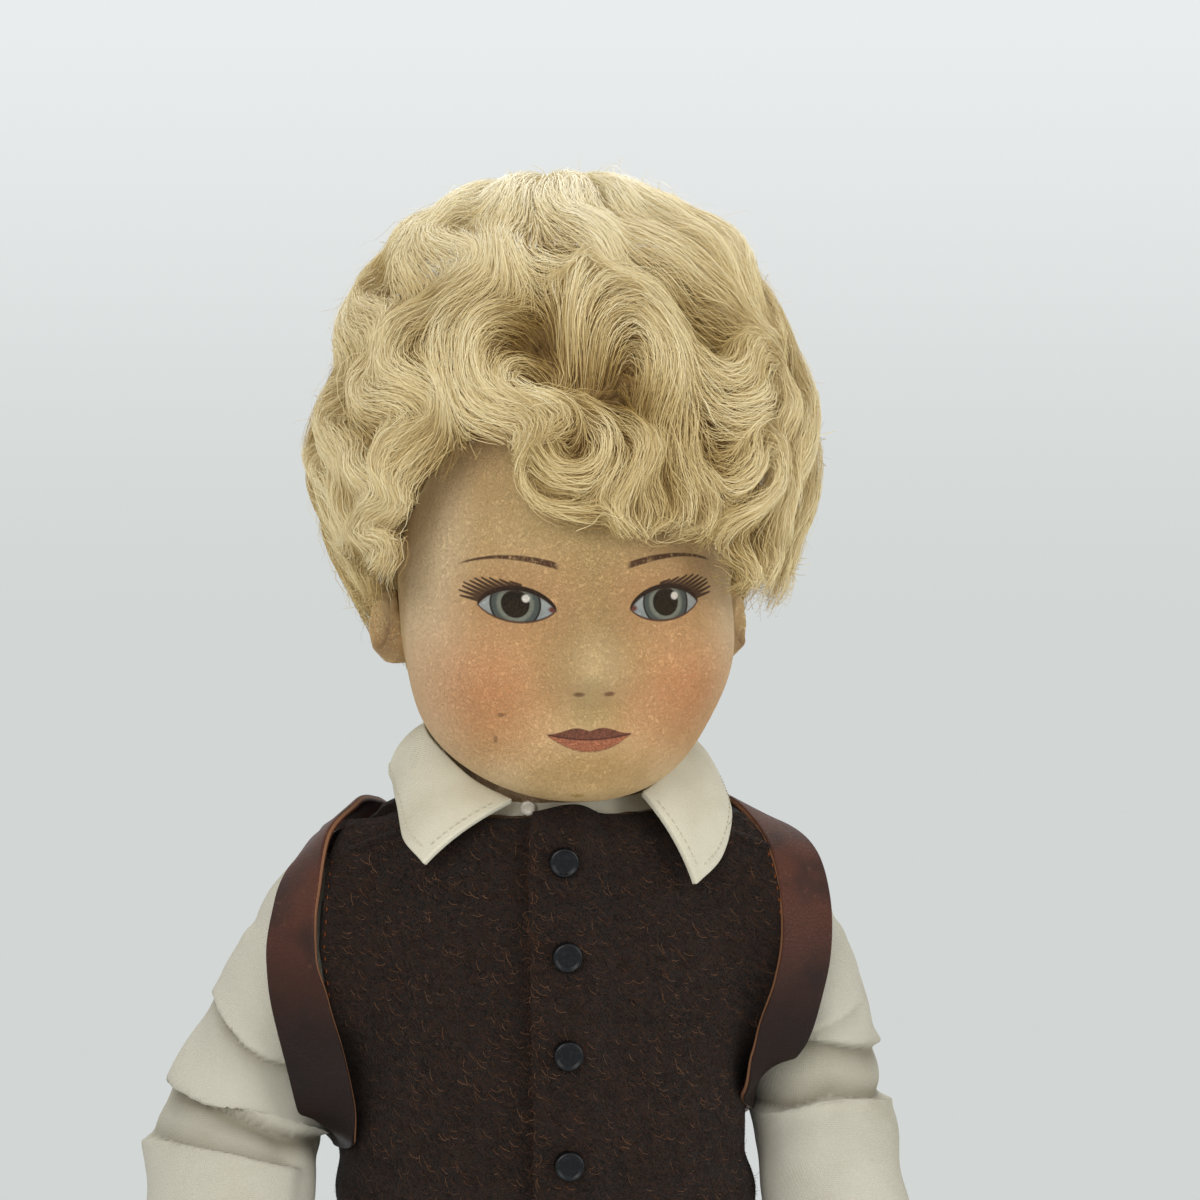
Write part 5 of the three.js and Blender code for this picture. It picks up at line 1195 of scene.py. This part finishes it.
# Lips: a bowed upper edge, the parting and a round lower edge, filled with brushed colour.
LIP_MIDDLE, LIP_HALF = 0.5, 8.07
from_mid = abs(face_x - LIP_MIDDLE)
lip_top = (from_mid - 2.5) / 3.2
lip_top = (lip_top * lip_top * -1.0).math("EXPONENT") * 1.25 - 28.25
lip_share = from_mid / LIP_HALF
lip_bow = (1.0 - lip_share * lip_share).math("MAXIMUM", 0.0)
lip_mid, lip_low = lip_bow * -0.95 - 28.2, lip_bow * -3.3 - 28.2
in_mouth = eased(lip_share, 1.02, 0.94) * is_front
upper_lip = eased(lip_top - face_z, -0.14, 0.14) * eased(face_z - lip_mid, -0.1, 0.1) * in_mouth
lower_lip = eased(lip_mid - face_z, -0.1, 0.1) * eased(face_z - lip_low, -0.16, 0.2) * in_mouth
brushed = eased(grain(skin_place, 1500.0, 2.0, 1.5), 0.35, 0.65)
colour = painted(colour, painted("94503a", "c07456", brushed), lower_lip * 0.92)
colour = painted(colour, painted("552a27", "82473b", brushed), upper_lip * 0.94)
colour = painted(colour, "6e3d30", eased(abs(face_z - lip_low), 0.3, 0.05) * in_mouth * brushed * 0.8)
colour = painted(colour, "4e2826", eased(abs(face_z - lip_mid), 0.24, 0.06) * in_mouth * 0.9)
nostrils = spot_mask(abs(face_x - 0.85), face_z, (2.9, -20.2), 1.0, 0.5, 0.5)
colour = painted(colour, "7a4f38", nostrils * is_front * 0.85)
set_sockets(skin_shader, Base_Color=colour, Roughness=0.9, Specular_IOR_Level=0.2, Sheen_Weight=0.22,
            Sheen_Roughness=0.55, Sheen_Tint=hue("ecc996"),
            Normal=raised(skin_net * 0.55 + grain(skin_place, 1700.0, 3.0) * 0.45, 0.16))

azimuth = np.radians(np.linspace(-180, 180, 233))[None, :]
elevation = np.radians(np.linspace(-86, 89, 151))[:, None]
head = filled_form("head_felt", head_surface(azimuth + 0 * elevation, elevation + 0 * azimuth))
belongs(head, skin, "skin_felt", "head", "head")
NECK_ROWS = np.array([[8, 320.3], [13.4, 320.35], [14.3, 321], [14.6, 323], [14.8, 328], [15.4, 334],
                      [16.5, 342]])
turn = np.linspace(0, math.tau, 145)
neck_out = NECK_ROWS[:, :1] * (1 + 0.02 * np.sin(turn * 22 + np.sin(turn * 5)))
neck = filled_form("head_neck_felt", np.stack([neck_out * np.sin(turn), -neck_out * np.cos(turn),
                                               NECK_ROWS[:, 1:] + 0 * turn], -1))
belongs(neck, body_felt, "skin_felt", "head")


def bare_felt(spot, way):
    """Skin in sight: not under the wig, nor on the painted eyes and lips."""
    x, y, z = (spot - HEAD_CENTRE).T
    eyes = (np.hypot((np.abs(x - 1) - 14.5) / 10, (z + 2.5) / 6) < 1) & (y < 0)
    lips = (np.hypot((x - 0.5) / 9, (z + 29.3) / 3.5) < 1) & (y < 0)
    return (z < 16) & ~eyes & ~lips


skin_nap = fuzz_finish("skin_nap", [(0.0, "b78f5a"), (0.5, "d0aa74"), (1.0, "efd7aa")])
nap("head_nap", head, 9000, 0.55, 0.035, 0.7, any_tone, skin_nap, "skin_felt", "head", bare_felt)

# Ears: small felt cups, each sewn flat against the side of the head. Their felt is painted lighter, as
# painted light where the hair shades them, and darker in the hollow, as painted shade.
EAR_TOP, EAR_SHORTER = 361.8, 0.86
lit_ear_felt, ear_shader, ear_place = new_finish("lit_ear_felt")
ear_y, ear_z = (ear_place.part(axis) * 1000.0 for axis in (1, 2))
hollow = spot_mask(ear_y, ear_z, (SHIFT[1] - 1.0, 353.5), 3.6, 5.0, 0.6)
ear_grain = fibre_net(ear_place, 1500.0)
# The felt is painted light, to make up for the hair's shade, and the hollow is painted shade.
colour = painted(painted("f9c886", "ffe0a8", ear_grain), "9c6d40", hollow * 0.7)
set_sockets(ear_shader, Base_Color=colour, Normal=raised(ear_grain, 0.2), Roughness=0.9)
for side in SIDES:
    ear = soft_copy(f"ear_{side}_felt", f"ear_{side}", 0.45, 5)
    points = points_of(ear)
    points[:, 2] = EAR_TOP - (EAR_TOP - points[:, 2]) * EAR_SHORTER
    move_points(ear, points)
    belongs(ear, lit_ear_felt, "skin_felt", "head", f"ear_{side}")

# Wig: curled blond mohair sewn to a woven cap. The locks fall from the crown, curl up on the brow, leave
# the right temple bare and end in loose points beside the ears.
WIG_HALVES, WIG_BACK = np.array([50.5, 45.0, 74.0]), 47.0
# How low the hair and the cap reach, from the back round by the right: azimuth and elevation.
WIG_EDGE = [[-180, -30], [-146, -26], [-124, -16], [-108, -4], [-95, 1], [-70, 1], [-52, 1], [-49, 8],
            [-46, 17], [-41, 26], [-36, 31], [-28, 34], [-21, 33], [-18, 26], [-14, 17], [0, 14], [24, 13],
            [33, 9], [37, -1], [46, 0], [70, 0], [95, 0], [108, -4], [124, -16], [146, -26], [180, -30]]
CAP_EDGE = [[-180, -24], [-140, -20], [-118, -8], [-100, 4], [-84, 10], [-70, 22], [-60, 32], [-45, 40],
            [-25, 42], [-12, 34], [0, 28], [24, 27], [44, 30], [60, 26], [72, 16], [84, 10], [100, 4],
            [118, -8], [140, -20], [180, -24]]


def compass(azimuth, elevation):
    """Ways from the head's centre, from degrees."""
    azimuth, elevation = np.radians(azimuth), np.radians(elevation)
    level = np.cos(elevation)
    return np.stack([np.sin(azimuth) * level, -np.cos(azimuth) * level, np.sin(elevation) + 0 * azimuth], -1)


def wig_edge(azimuth):
    return along(WIG_EDGE, (azimuth + 180) % 360 - 180)


def wig_reach(azimuth, elevation):
    """Distance from the head's centre to the hair, which lies closer to the head towards its edge."""
    way = compass(azimuth, elevation)
    halves = np.broadcast_to(WIG_HALVES, way.shape).copy()
    halves[way[..., 1] >= 0, 1] = WIG_BACK
    full = (np.abs(way / halves) ** 2.5).sum(-1) ** -0.4
    scalp = scalp_reach(azimuth, elevation, 1.6)
    level = smooth(np.abs(azimuth), 58, 84)
    tucked = 0.72 - 0.3 * level + (0.28 + 0.3 * level) * smooth(elevation - wig_edge(azimuth), -6, 24)
    return scalp + (full - scalp) * tucked


def scalp_reach(azimuth, elevation, grow):
    scalp = head_surface(np.radians(azimuth), np.radians(elevation), grow) - HEAD_CENTRE
    return np.linalg.norm(scalp, axis=-1)


# Painted shade: the cap is a dark gold, so that it reads as shadowed hair in the gaps between the strands.
shaded_cap_finish, cap_shader, cap_grain = mottled("mohair_cap", "6b4f2a", "b3925a", 0.35, 0.7, 260.0, 5.0, 1.5)
set_sockets(cap_shader, Normal=raised(cap_grain, 0.8), Roughness=0.8)
CAP_ROWS, CAP_LINING_ROWS = 40, 20
share = np.concatenate([np.linspace(1, 0, CAP_ROWS), np.linspace(0, 1, CAP_LINING_ROWS)])[:, None]
azimuth = np.linspace(-180, 180, 145)[None, :] + 0 * share
edge = along(CAP_EDGE, azimuth)
elevation = edge + (89.3 - edge) * share
scalp = scalp_reach(azimuth, elevation, 0.4)
under_hair = np.maximum(wig_reach(azimuth, elevation) - 11.5 - scalp, 0) * smooth(share, 0, 0.3)
is_outer = (np.arange(len(share)) < CAP_ROWS)[:, None]
depth = np.where(is_outer, scalp + 0.7 + under_hair, scalp)
cap = filled_form("wig_cap", HEAD_CENTRE + compass(azimuth, elevation) * depth[..., None])
belongs(cap, shaded_cap_finish, "mohair", "head", "wig")

# Each lock is its width in millimetres and its line from root to tip, as azimuth and elevation on the wig.
LOCKS = [
    (9, [(-8, 58), (-20, 60), (-32, 57), (-38, 52), (-38, 45), (-35, 38), (-26, 36), (-15, 36)]),
    (8, [(-10, 56), (-20, 56), (-29, 53), (-32, 48), (-30, 42), (-22, 39), (-12, 38)]),
    (5, [(-10, 48), (-18, 47), (-22, 44), (-15, 40), (-6, 40)]),
    (9, [(-38, 72), (-65, 71), (-76, 66), (-53, 61), (-38, 60), (-26, 60)]),
    (8, [(-87, 76), (-98, 70), (-90, 65), (-64, 59), (-52, 56)]),
    (10, [(-56, 60), (-78, 60), (-98, 56), (-80, 50), (-60, 47), (-49, 46)]),
    (8, [(-96, 62), (-98, 56), (-98, 50), (-82, 46), (-66, 42)]),
    (9, [(-40, 54), (-50, 50), (-56, 46), (-51, 41), (-41, 39)]),
    (8, [(-50, 46), (-59, 42), (-62, 38), (-53, 36), (-43, 38)]),
    (10, [(-60, 42), (-73, 38), (-82, 34), (-71, 28), (-58, 23), (-53, 22)]),
    (7, [(-71, 40), (-96, 34), (-98, 26), (-72, 20), (-61, 16)]),
    (7, [(-37, 38), (-44, 34), (-49, 28), (-50, 22), (-44, 20)]),
    (7, [(-38, 36), (-42, 29), (-47, 22), (-53, 17), (-58, 13)]),
    (8, [(-57, 25), (-64, 20), (-65, 15), (-58, 11), (-49, 12)]),
    (6, [(-39, 29), (-43, 22), (-46, 16), (-50, 15)]),
    (6, [(-52, 17), (-58, 13), (-64, 8), (-74, 7)]),
    (6, [(-44, 18), (-49, 12), (-53, 5), (-57, 4)]),
    (6, [(-43, 14), (-44, 6), (-48, 2), (-50, -2)]),
    (7, [(0, 40), (-8, 38), (-17, 34), (-22, 29), (-21, 21), (-16, 15), (-6, 13), (2, 15)]),
    (7, [(-15, 36), (-18, 32), (-19, 26), (-15, 20), (-6, 18), (4, 20)]),
    (8, [(-3, 41), (7, 38), (12, 33), (8, 26), (-1, 24), (-9, 26), (-12, 30)]),
    (6, [(-6, 42), (2, 38), (4, 34), (2, 28), (-6, 26)]),
    (7, [(4, 26), (4, 20), (8, 14), (18, 12), (24, 15)]),
    (7, [(14, 38), (16, 31), (10, 24), (6, 18), (10, 13)]),
    (6, [(24, 37), (22, 29), (24, 20), (22, 15), (15, 13)]),
    (9, [(-4, 45), (-6, 52), (-2, 56), (8, 58), (18, 55), (23, 49), (22, 42), (18, 37)]),
    (6, [(2, 47), (4, 52), (12, 53), (18, 48), (18, 43), (16, 39)]),
    (6, [(-4, 46), (-4, 55), (0, 62)]),
    (12, [(5, 70), (18, 66), (31, 60), (42, 54), (47, 52)]),
    (9, [(32, 72), (46, 66), (50, 60), (46, 54)]),
    (9, [(72, 76), (76, 69), (76, 63), (54, 54), (56, 50)]),
    (8, [(22, 52), (29, 46), (34, 41), (41, 42), (45, 46)]),
    (8, [(26, 47), (28, 39), (34, 34), (44, 35), (47, 39)]),
    (7, [(63, 61), (50, 52), (50, 46), (58, 45)]),
    (8, [(76, 58), (70, 51), (56, 42), (58, 36), (53, 31)]),
    (8, [(70, 51), (76, 44), (75, 36), (61, 27), (52, 20)]),
    (8, [(26, 38), (24, 32), (26, 24), (33, 20), (40, 24), (42, 29)]),
    (7, [(42, 35), (48, 28), (46, 20), (40, 16), (36, 15)]),
    (7, [(50, 28), (52, 20), (49, 12), (53, 7)]),
    (5, [(40, 17), (35, 14), (32, 8), (36, 6)]),
    (6, [(48, 15), (50, 7), (47, 0), (46, -3)]),
    (6, [(38, 12), (40, 5), (42, 1), (40, -1)]),
    (5, [(29, 24), (30, 18), (28, 13), (24, 12)]),
    (9, [(-66, 86), (-86, 80), (-72, 73), (-64, 68)]),
    (9, [(-22, 88), (46, 82), (42, 73), (53, 68)]),
    (9, [(-26, 70), (-29, 64), (-20, 60), (-10, 60)]),
    (9, [(-16, 73), (-2, 70), (7, 67), (9, 63)]),
    (9, [(-41, 68), (-28, 62), (-32, 58), (-40, 56)]),
    (11, [(180, 70), (178, 80), (0, 88), (-4, 80), (-8, 72)]),
    (11, [(150, 74), (120, 82), (60, 84), (40, 78), (30, 72)]),
    (11, [(-150, 74), (-120, 82), (-70, 84), (-45, 78), (-35, 72)]),
]
# Hollows between the locks: azimuth, elevation, width and depth in millimetres.
HOLLOWS = [(-14, 52, 5, 4.4), (7, 43, 4, 3.8), (16, 40, 4, 3.4), (40, 47, 4, 2.8), (33, 53, 4, 2.2),
           (60, 40, 4, 2.2)]
hair_rng = np.random.default_rng(7)
CROWN_LEAN, WIG_RADIUS = math.radians(34), 50


def from_crown(azimuth, elevation):
    """A way from the head's centre, told from a crown that leans to the back of the head."""
    x, y, z = compass(azimuth, elevation)
    return np.array([x, y * math.cos(CROWN_LEAN) + z * math.sin(CROWN_LEAN),
                     z * math.cos(CROWN_LEAN) - y * math.sin(CROWN_LEAN)])


def loose_lock():
    """A lock that falls from a chance place in waves, down to the wig's edge at most."""
    azimuth, elevation = hair_rng.uniform(-180, 180), math.degrees(math.asin(hair_rng.uniform(-0.75, 0.995)))
    phase = 2.4 * math.sin(math.radians(3 * azimuth)) + 2 * math.sin(math.radians(5 * elevation))
    phase += hair_rng.uniform(0, 1.2)
    line = []
    for step in range(hair_rng.integers(8, 12)):
        way = from_crown(np.array(azimuth), np.array(elevation))
        if math.degrees(math.asin(way[2])) < wig_edge(np.degrees(np.arctan2(way[0], -way[1]))) - 4:
            break
        line.append(way)
        heading = math.radians(54) * math.sin(step * 0.8 + phase)
        elevation -= 3.4 * math.cos(heading)
        azimuth += 3.4 * math.sin(heading) / max(math.cos(math.radians(elevation)), 0.25)
    return (hair_rng.uniform(8, 12), np.array(line)) if len(line) > 4 else None


def bearing(way):
    """Azimuth and elevation of ways from the head's centre, in degrees."""
    return np.degrees(np.arctan2(way[:, 0], -way[:, 1])), np.degrees(np.arcsin(np.clip(way[:, 2], -1, 1)))


# The locks set the way that the hair runs, and how it rises, at each place on the wig.
LOOSE_LOCKS, LOCK_STEPS = 520, 26
field_rows = []
drawn = [(width, compass(*np.array(line, float).T), 1.0, 4.4) for width, line in LOCKS]
set_places = np.concatenate([curve_through(line, np.linspace(0, 1, 16)) for _, line, _, _ in drawn])
for lock in (loose_lock() for _ in range(LOOSE_LOCKS)):
    if lock and np.linalg.norm(set_places - lock[1][len(lock[1]) // 2], axis=1).min() * WIG_RADIUS > 4.5:
        drawn.append((*lock, 0.5, 3.0))
share = np.linspace(0, 1, LOCK_STEPS)
for width, line, pull, lift in drawn:
    way = unit(curve_through(line, share))
    run = unit(np.gradient(way, axis=0))
    rise = lift * smooth(share, -0.15, 0.55) * (1 - 0.55 * smooth(share, 0.82, 1))
    field_rows.append(np.column_stack([way, run, 0 * share + width / 2, 0 * share + pull, rise]))
field_rows = np.concatenate(field_rows)
GRID = 1.5
grid_azimuth, grid_elevation = np.arange(-180, 180 + GRID, GRID), np.arange(-45, 90 + GRID, GRID)
field = np.zeros((len(grid_elevation), len(grid_azimuth), 5))
for row, elevation in enumerate(np.minimum(grid_elevation, 89.9)):
    way = compass(grid_azimuth, elevation + 0 * grid_azimuth)
    near = np.linalg.norm(way[:, None] - field_rows[None, :, :3], axis=-1) * WIG_RADIUS / field_rows[:, 6]
    pull = np.exp(-2.6 * near ** 2) * field_rows[:, 7] ** 2
    down = way * way[:, 2:] - np.array([0, 0, 1.0])
    field[row, :, :3] = pull @ field_rows[:, 3:6] + 0.02 * down
    field[row, :, 3] = (np.exp(-0.9 * near ** 2) * field_rows[:, 8]).max(1)
    for place, level, width, depth in HOLLOWS:
        gap = np.linalg.norm(way - compass(np.array(place), np.array(level)), axis=-1) * WIG_RADIUS
        field[row, :, 3] -= depth * bell(gap, width)
    field[row, :, 4] = wig_reach(grid_azimuth, elevation + 0 * grid_azimuth)


def wig_field(way):
    """The run of the hair, its rise and its distance from the centre, for many places at once."""
    azimuth, elevation = bearing(way)
    place, level = (azimuth + 180) / GRID, (elevation + 45) / GRID
    column = np.clip(place.astype(int), 0, len(grid_azimuth) - 2)
    row = np.clip(level.astype(int), 0, len(grid_elevation) - 2)
    a, b = (place - column)[:, None], np.clip(level - row, 0, 1)[:, None]
    lower = field[row, column] * (1 - a) + field[row, column + 1] * a
    upper = field[row + 1, column] * (1 - a) + field[row + 1, column + 1] * a
    found = lower * (1 - b) + upper * b
    run = found[:, :3] - way * (found[:, :3] * way).sum(1)[:, None]
    return run / np.maximum(np.linalg.norm(run, axis=1), 1e-6)[:, None], found[:, 3], found[:, 4]


def mohair_strands(count, steps, stray):
    """Strands that start at chance places, follow the locks and taper into loose tips."""
    way = unit(hair_rng.normal(size=(count * 7, 3)))
    far = wig_field(way)[2]
    azimuth, elevation = bearing(way)
    over = elevation - wig_edge(azimuth)
    way = way[(over > 2) & (hair_rng.random(len(way)) < (far / far.max()) ** 2.4)][:count]
    count = len(way)
    length = hair_rng.uniform(13, 27, count)
    depth = 3.4 * hair_rng.random(count) ** 1.4
    share = np.linspace(0, 1, steps)
    give = 3 * hair_rng.random(count) - 12 * hair_rng.random(count) ** 2
    paths, tones, facing = (np.empty((count, steps, size)) for size in (3, 1, 3))
    turn = hair_rng.uniform(0, math.tau, (4, count))
    wave = hair_rng.uniform(3, 8, (2, count))
    is_stray = hair_rng.random(count) < stray
    reach = np.where(is_stray, hair_rng.uniform(0.8, 2.6, count), hair_rng.uniform(0.12, 0.45, count))
    heading = hair_rng.normal(0, 0.12, count)
    for step in range(steps):
        run, rise, far = wig_field(way)
        aside = np.cross(way, run)
        run = run * np.cos(heading)[:, None] + aside * np.sin(heading)[:, None]
        root = -2.6 * (1 - smooth(share[step], 0, 0.22))
        tip = np.where(reach > 0.8, reach, -0.5) * smooth(share[step], 0.7, 1)
        height = far - 2.4 + 1.9 * smooth(way[:, 2], 0.75, 0.98) + rise - depth + root + tip
        swing = np.sin(wave[0] * share[step] + turn[0]) * np.cos(turn[2]) * reach
        heave = np.sin(wave[1] * share[step] + turn[1]) * np.sin(turn[3]) * reach
        paths[:, step] = HEAD_CENTRE + way * (height + heave)[:, None] + aside * swing[:, None]
        tones[:, step, 0] = rise
        facing[:, step] = way
        moved = way + run * (length / (steps - 1) / far)[:, None]
        moved /= np.linalg.norm(moved, axis=1)[:, None]
        azimuth, elevation = bearing(moved)
        free = elevation > wig_edge(azimuth) + np.where(np.abs(azimuth) < 46, give * 0.3, give)
        way = np.where(free[:, None], moved, way)
    # Painted light and shade in the tone: darker in the hollows between locks and deeper in the hair, lighter
    # on top where the light falls, darker over the shaded fringe; the rest differs at random.
    tone = 0.5 + 0.09 * (np.clip(tones[..., 0], -3, 4) - 2.2) - 0.05 * (depth - 1.2)[:, None]
    tone += hair_rng.normal(0, 0.08, count)[:, None] + 0.32 * smooth(facing[..., 2], 0.82, 0.99) - 0.02
    tone -= 0.16 * smooth(-facing[..., 1], 0.6, 0.85) * (1 - smooth(facing[..., 2], 0.42, 0.62))
    facing += hair_rng.normal(0, 0.35, (count, 1, 3))
    return paths, np.clip(tone, 0.01, 0.99), facing


HAIR_TONES = [(0.0, "63461f"), (0.2, "a58648"), (0.45, "d2ba82"), (0.7, "eadaac"), (1.0, "fbf2d4")]
WIG_PIECES, PIECE_STRANDS, STRAND_STEPS, STRAND_WIDTH, STRAYS = 6, 9200, 10, 0.105, 0.05
mohair, hair_shader, hair_place = new_finish("mohair")
tone = hair_place.node("Attribute", {}, "Fac", attribute_name="tone")
hair_colour = tone.node("ValToRGB", {0: tone}, stops=HAIR_TONES)
# Painted light: the strands glow faintly in their own colour, most where their tone is light, to lift the
# shade between them.
set_sockets(hair_shader, Base_Color=hair_colour, Roughness=0.5, Specular_IOR_Level=0.3,
            Emission_Color=painted("000000", hair_colour, eased(tone, 0.1, 0.6)), Emission_Strength=0.045)
taper = STRAND_WIDTH * (1 - 0.8 * np.linspace(0, 1, STRAND_STEPS) ** 4)
for number in range(1, WIG_PIECES + 1):
    paths, tones, facing = mohair_strands(PIECE_STRANDS, STRAND_STEPS, STRAYS)
    widths = np.broadcast_to(taper, tones.shape)
    ribbons(f"wig_locks_{number}", paths, widths, facing, tones, mohair, "mohair", "head")

# Satchel: a soft leather bag carried on the back, wadded inside, with a flap, a tab and a brass stud. The
# wadding swells the bag, and thread holds the flap's edge.
satchel_leather = leather("satchel_leather", "2f1a13", "4d2a1f", "744a39")
SATCHEL_MIDDLE, SATCHEL_HALF = np.array([0, 41.5, 267.0]), np.array([31.0, 10.0, 29.0])


def swelled(points):
    """The bag's walls stand out most in their middles."""
    off = np.clip((points - SATCHEL_MIDDLE) / SATCHEL_HALF, -1.1, 1.1)
    crown = np.cos(off[:, 0] * math.pi / 2.4) * np.cos((off[:, 2] + 0.25) * math.pi / 2.7)
    sag = 0.35 * np.sin(off[:, 0] * 7 + off[:, 2] * 2) * (0.5 - 0.5 * off[:, 2])
    out = np.maximum(off[:, 1], 0) * (2.4 * crown + sag)
    side = off[:, 0] * np.cos(off[:, 2] * math.pi / 2.3) * np.cos(off[:, 1]) * 1.2
    return points + np.stack([side, out, -0.9 * np.cos(off[:, 0] * math.pi / 2.2) * (off[:, 2] < -0.5)], -1)


def solid_box(node):
    """Two corners of a solid's box, in millimetres about the doll's middle."""
    return (np.array(corner) * 1000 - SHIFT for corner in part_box(node))


for node, voxel in (("satchel_body", 1.3), ("satchel_flap", 0.85), ("satchel_tab", 0.6)):
    bag = soft_copy(f"{node}_leather", node, voxel, 5)
    move_points(bag, swelled(points_of(bag)))
    belongs(bag, satchel_leather, "strap_leather", "torso", node)
wadding = soft_copy("satchel_wadding", "satchel_filling", 1.2, 6)
belongs(wadding, felt("wadding", "cfc9bb", "e8e4da", "f6f3ec"), "filling", "torso", "satchel_filling")
hem = np.linspace(-1, 1, 60)
low, high = solid_box("satchel_flap")
across = (low[0] + high[0]) / 2 + hem * ((high[0] - low[0]) / 2 - 2.2)
hem_line = swelled(np.stack([across, 0 * hem + high[1], 0 * hem + low[2] + 2.0], -1)) + np.array([0, 0.06, 0])
stitches("satchel_stitches", hem_line, np.tile([0.0, 1, 0], (len(hem), 1)), 2.2, 1.5, 0.2, pale_thread,
         "shirt_cotton", "torso")
brass, brass_shader, brass_wear = mottled("stud_brass", "7d6230", "c09a52", 0.3, 0.65, 900.0, 4.0)
set_sockets(brass_shader, Roughness=brass_wear * 0.35 + 0.2, Metallic=1.0)
low, high = solid_box("satchel_stud")
middle = (low + high) / 2
stud_place = swelled(np.array([[middle[0], low[1], middle[2]]]))[0]
bpy.ops.object.select_all(action="DESELECT")
bpy.ops.mesh.primitive_uv_sphere_add(segments=32, ring_count=16, radius=(high[2] - low[2]) / 2000,
                                     rotation=(math.pi / 2, 0, 0), location=in_frame(stud_place))
stud = bpy.context.object
stud.name = stud.data.name = "satchel_stud_brass"
stud.scale = (1, 1, 0.55)
bpy.ops.object.transform_apply(location=True, rotation=True, scale=True)
stud.data.shade_smooth()
belongs(stud, brass, "stud_brass", "torso", "satchel_stud")

# Straps: two bands of split cowhide, raw at the edges, from the satchel's lid over the shoulders, down
# in front of the sleeves and back under the arms to its lower corners. Low down they are painted darker,
# as painted shade.
strap_leather = leather("strap_leather", "371e15", "522d1f", "74503e")
strap_shader = strap_leather.node_tree.nodes["Principled BSDF"]
colour = Dye(strap_leather.node_tree, strap_shader.inputs["Base Color"].links[0].from_socket)
strap_z = colour.node("TexCoord", {}, "Object").part(2)
# Painted shade: darker towards the straps' lower ends.
colour = painted(colour, "0e0908", eased(strap_z, 0.306, 0.276) * 0.86)
round_strap = colour.node("TexCoord", {}, "UV").part(0)
raw_edge = eased(abs((round_strap * 2.0).math("FRACT") - 0.95), 0.1, 0.03)
set_sockets(strap_shader, Base_Color=painted(colour, "94694b", raw_edge * 0.75), Specular_IOR_Level=0.2)
# Rows along each strap: its place, and how far it is turned out of level, in degrees.
STRAP_ROWS = {
    "right": [[-19, 46, 298.9, 0], [-19.5, 40, 299.7, 0], [-21, 34.5, 303.4, 0], [-29.5, 27, 309.6, 10],
              [-36.8, 14, 316, 28], [-41.6, -1, 316.8, 44], [-47.2, -12, 312.4, 58],
              [-50.5, -17.4, 303.4, 48], [-51.6, -20.4, 293, 39], [-49.9, -21.4, 283.5, 22],
              [-47.3, -21.4, 273.5, 12], [-45.4, -20.6, 265, 14], [-44.2, -17, 259.6, 36],
              [-43.9, -8, 259.4, 74], [-44.4, 4, 260.2, 90], [-43.8, 17, 257.5, 90],
              [-39.8, 28, 252.5, 90], [-32.15, 37.5, 246, 90]],
    "left": [[19, 46, 298.9, 0], [19.5, 40, 299.7, 0], [21, 34.5, 303.4, 0], [29.5, 27, 309.6, 10],
             [36.8, 14, 316, 24], [41.8, -1, 316.8, 30], [47, -12, 311.2, 24], [48.7, -17.4, 302.8, 23],
             [48.5, -20.4, 293.5, 24], [47, -21.4, 286, 22], [44.6, -21, 278, 14], [42.6, -19.5, 272, 22],
             [40.4, -15.5, 267.5, 48], [40.6, -7, 264.5, 78], [42, 4, 262.3, 90], [42, 17, 258.2, 90],
             [38.6, 28, 252.8, 90], [32.15, 37.5, 246, 90]]}
HALF_WIDTH, HALF_THICK, EDGE_ROUND = 5.75, 0.75, 0.45
corners = [(a, b, start) for start, (a, b) in enumerate(((1, 1), (-1, 1), (-1, -1), (1, -1)))]
outline = [(a * (HALF_WIDTH - EDGE_ROUND) + EDGE_ROUND * math.cos(start * math.pi / 2 + t),
            b * (HALF_THICK - EDGE_ROUND) + EDGE_ROUND * math.sin(start * math.pi / 2 + t))
           for a, b, start in corners for t in np.linspace(0, math.pi / 2, 5)]
outline = np.array(outline + outline[:1])
for side, sign in SIDES.items():
    rows = np.array(STRAP_ROWS[side], float)
    shares = np.linspace(0, 1, 190)
    middle = curve_through(rows[:, :3], shares)
    tangent = unit(np.gradient(middle, axis=0))
    level = unit(np.array([-sign, 0, 0]) + sign * tangent * tangent[:, :1])
    square = -sign * np.cross(tangent, level)
    twist = np.radians(along(np.stack([np.linspace(0, 1, len(rows)), rows[:, 3]], 1), shares))[:, None]
    across = level * np.cos(twist) + square * np.sin(twist)
    through = np.cross(tangent, across)
    points = middle[:, None] + across[:, None] * outline[:, :1] + through[:, None] * outline[:, 1:]
    strap = filled_form(f"strap_{side}_leather", points)
    belongs(strap, strap_leather, "strap_leather", None, f"strap_{side}")
    bends(strap)
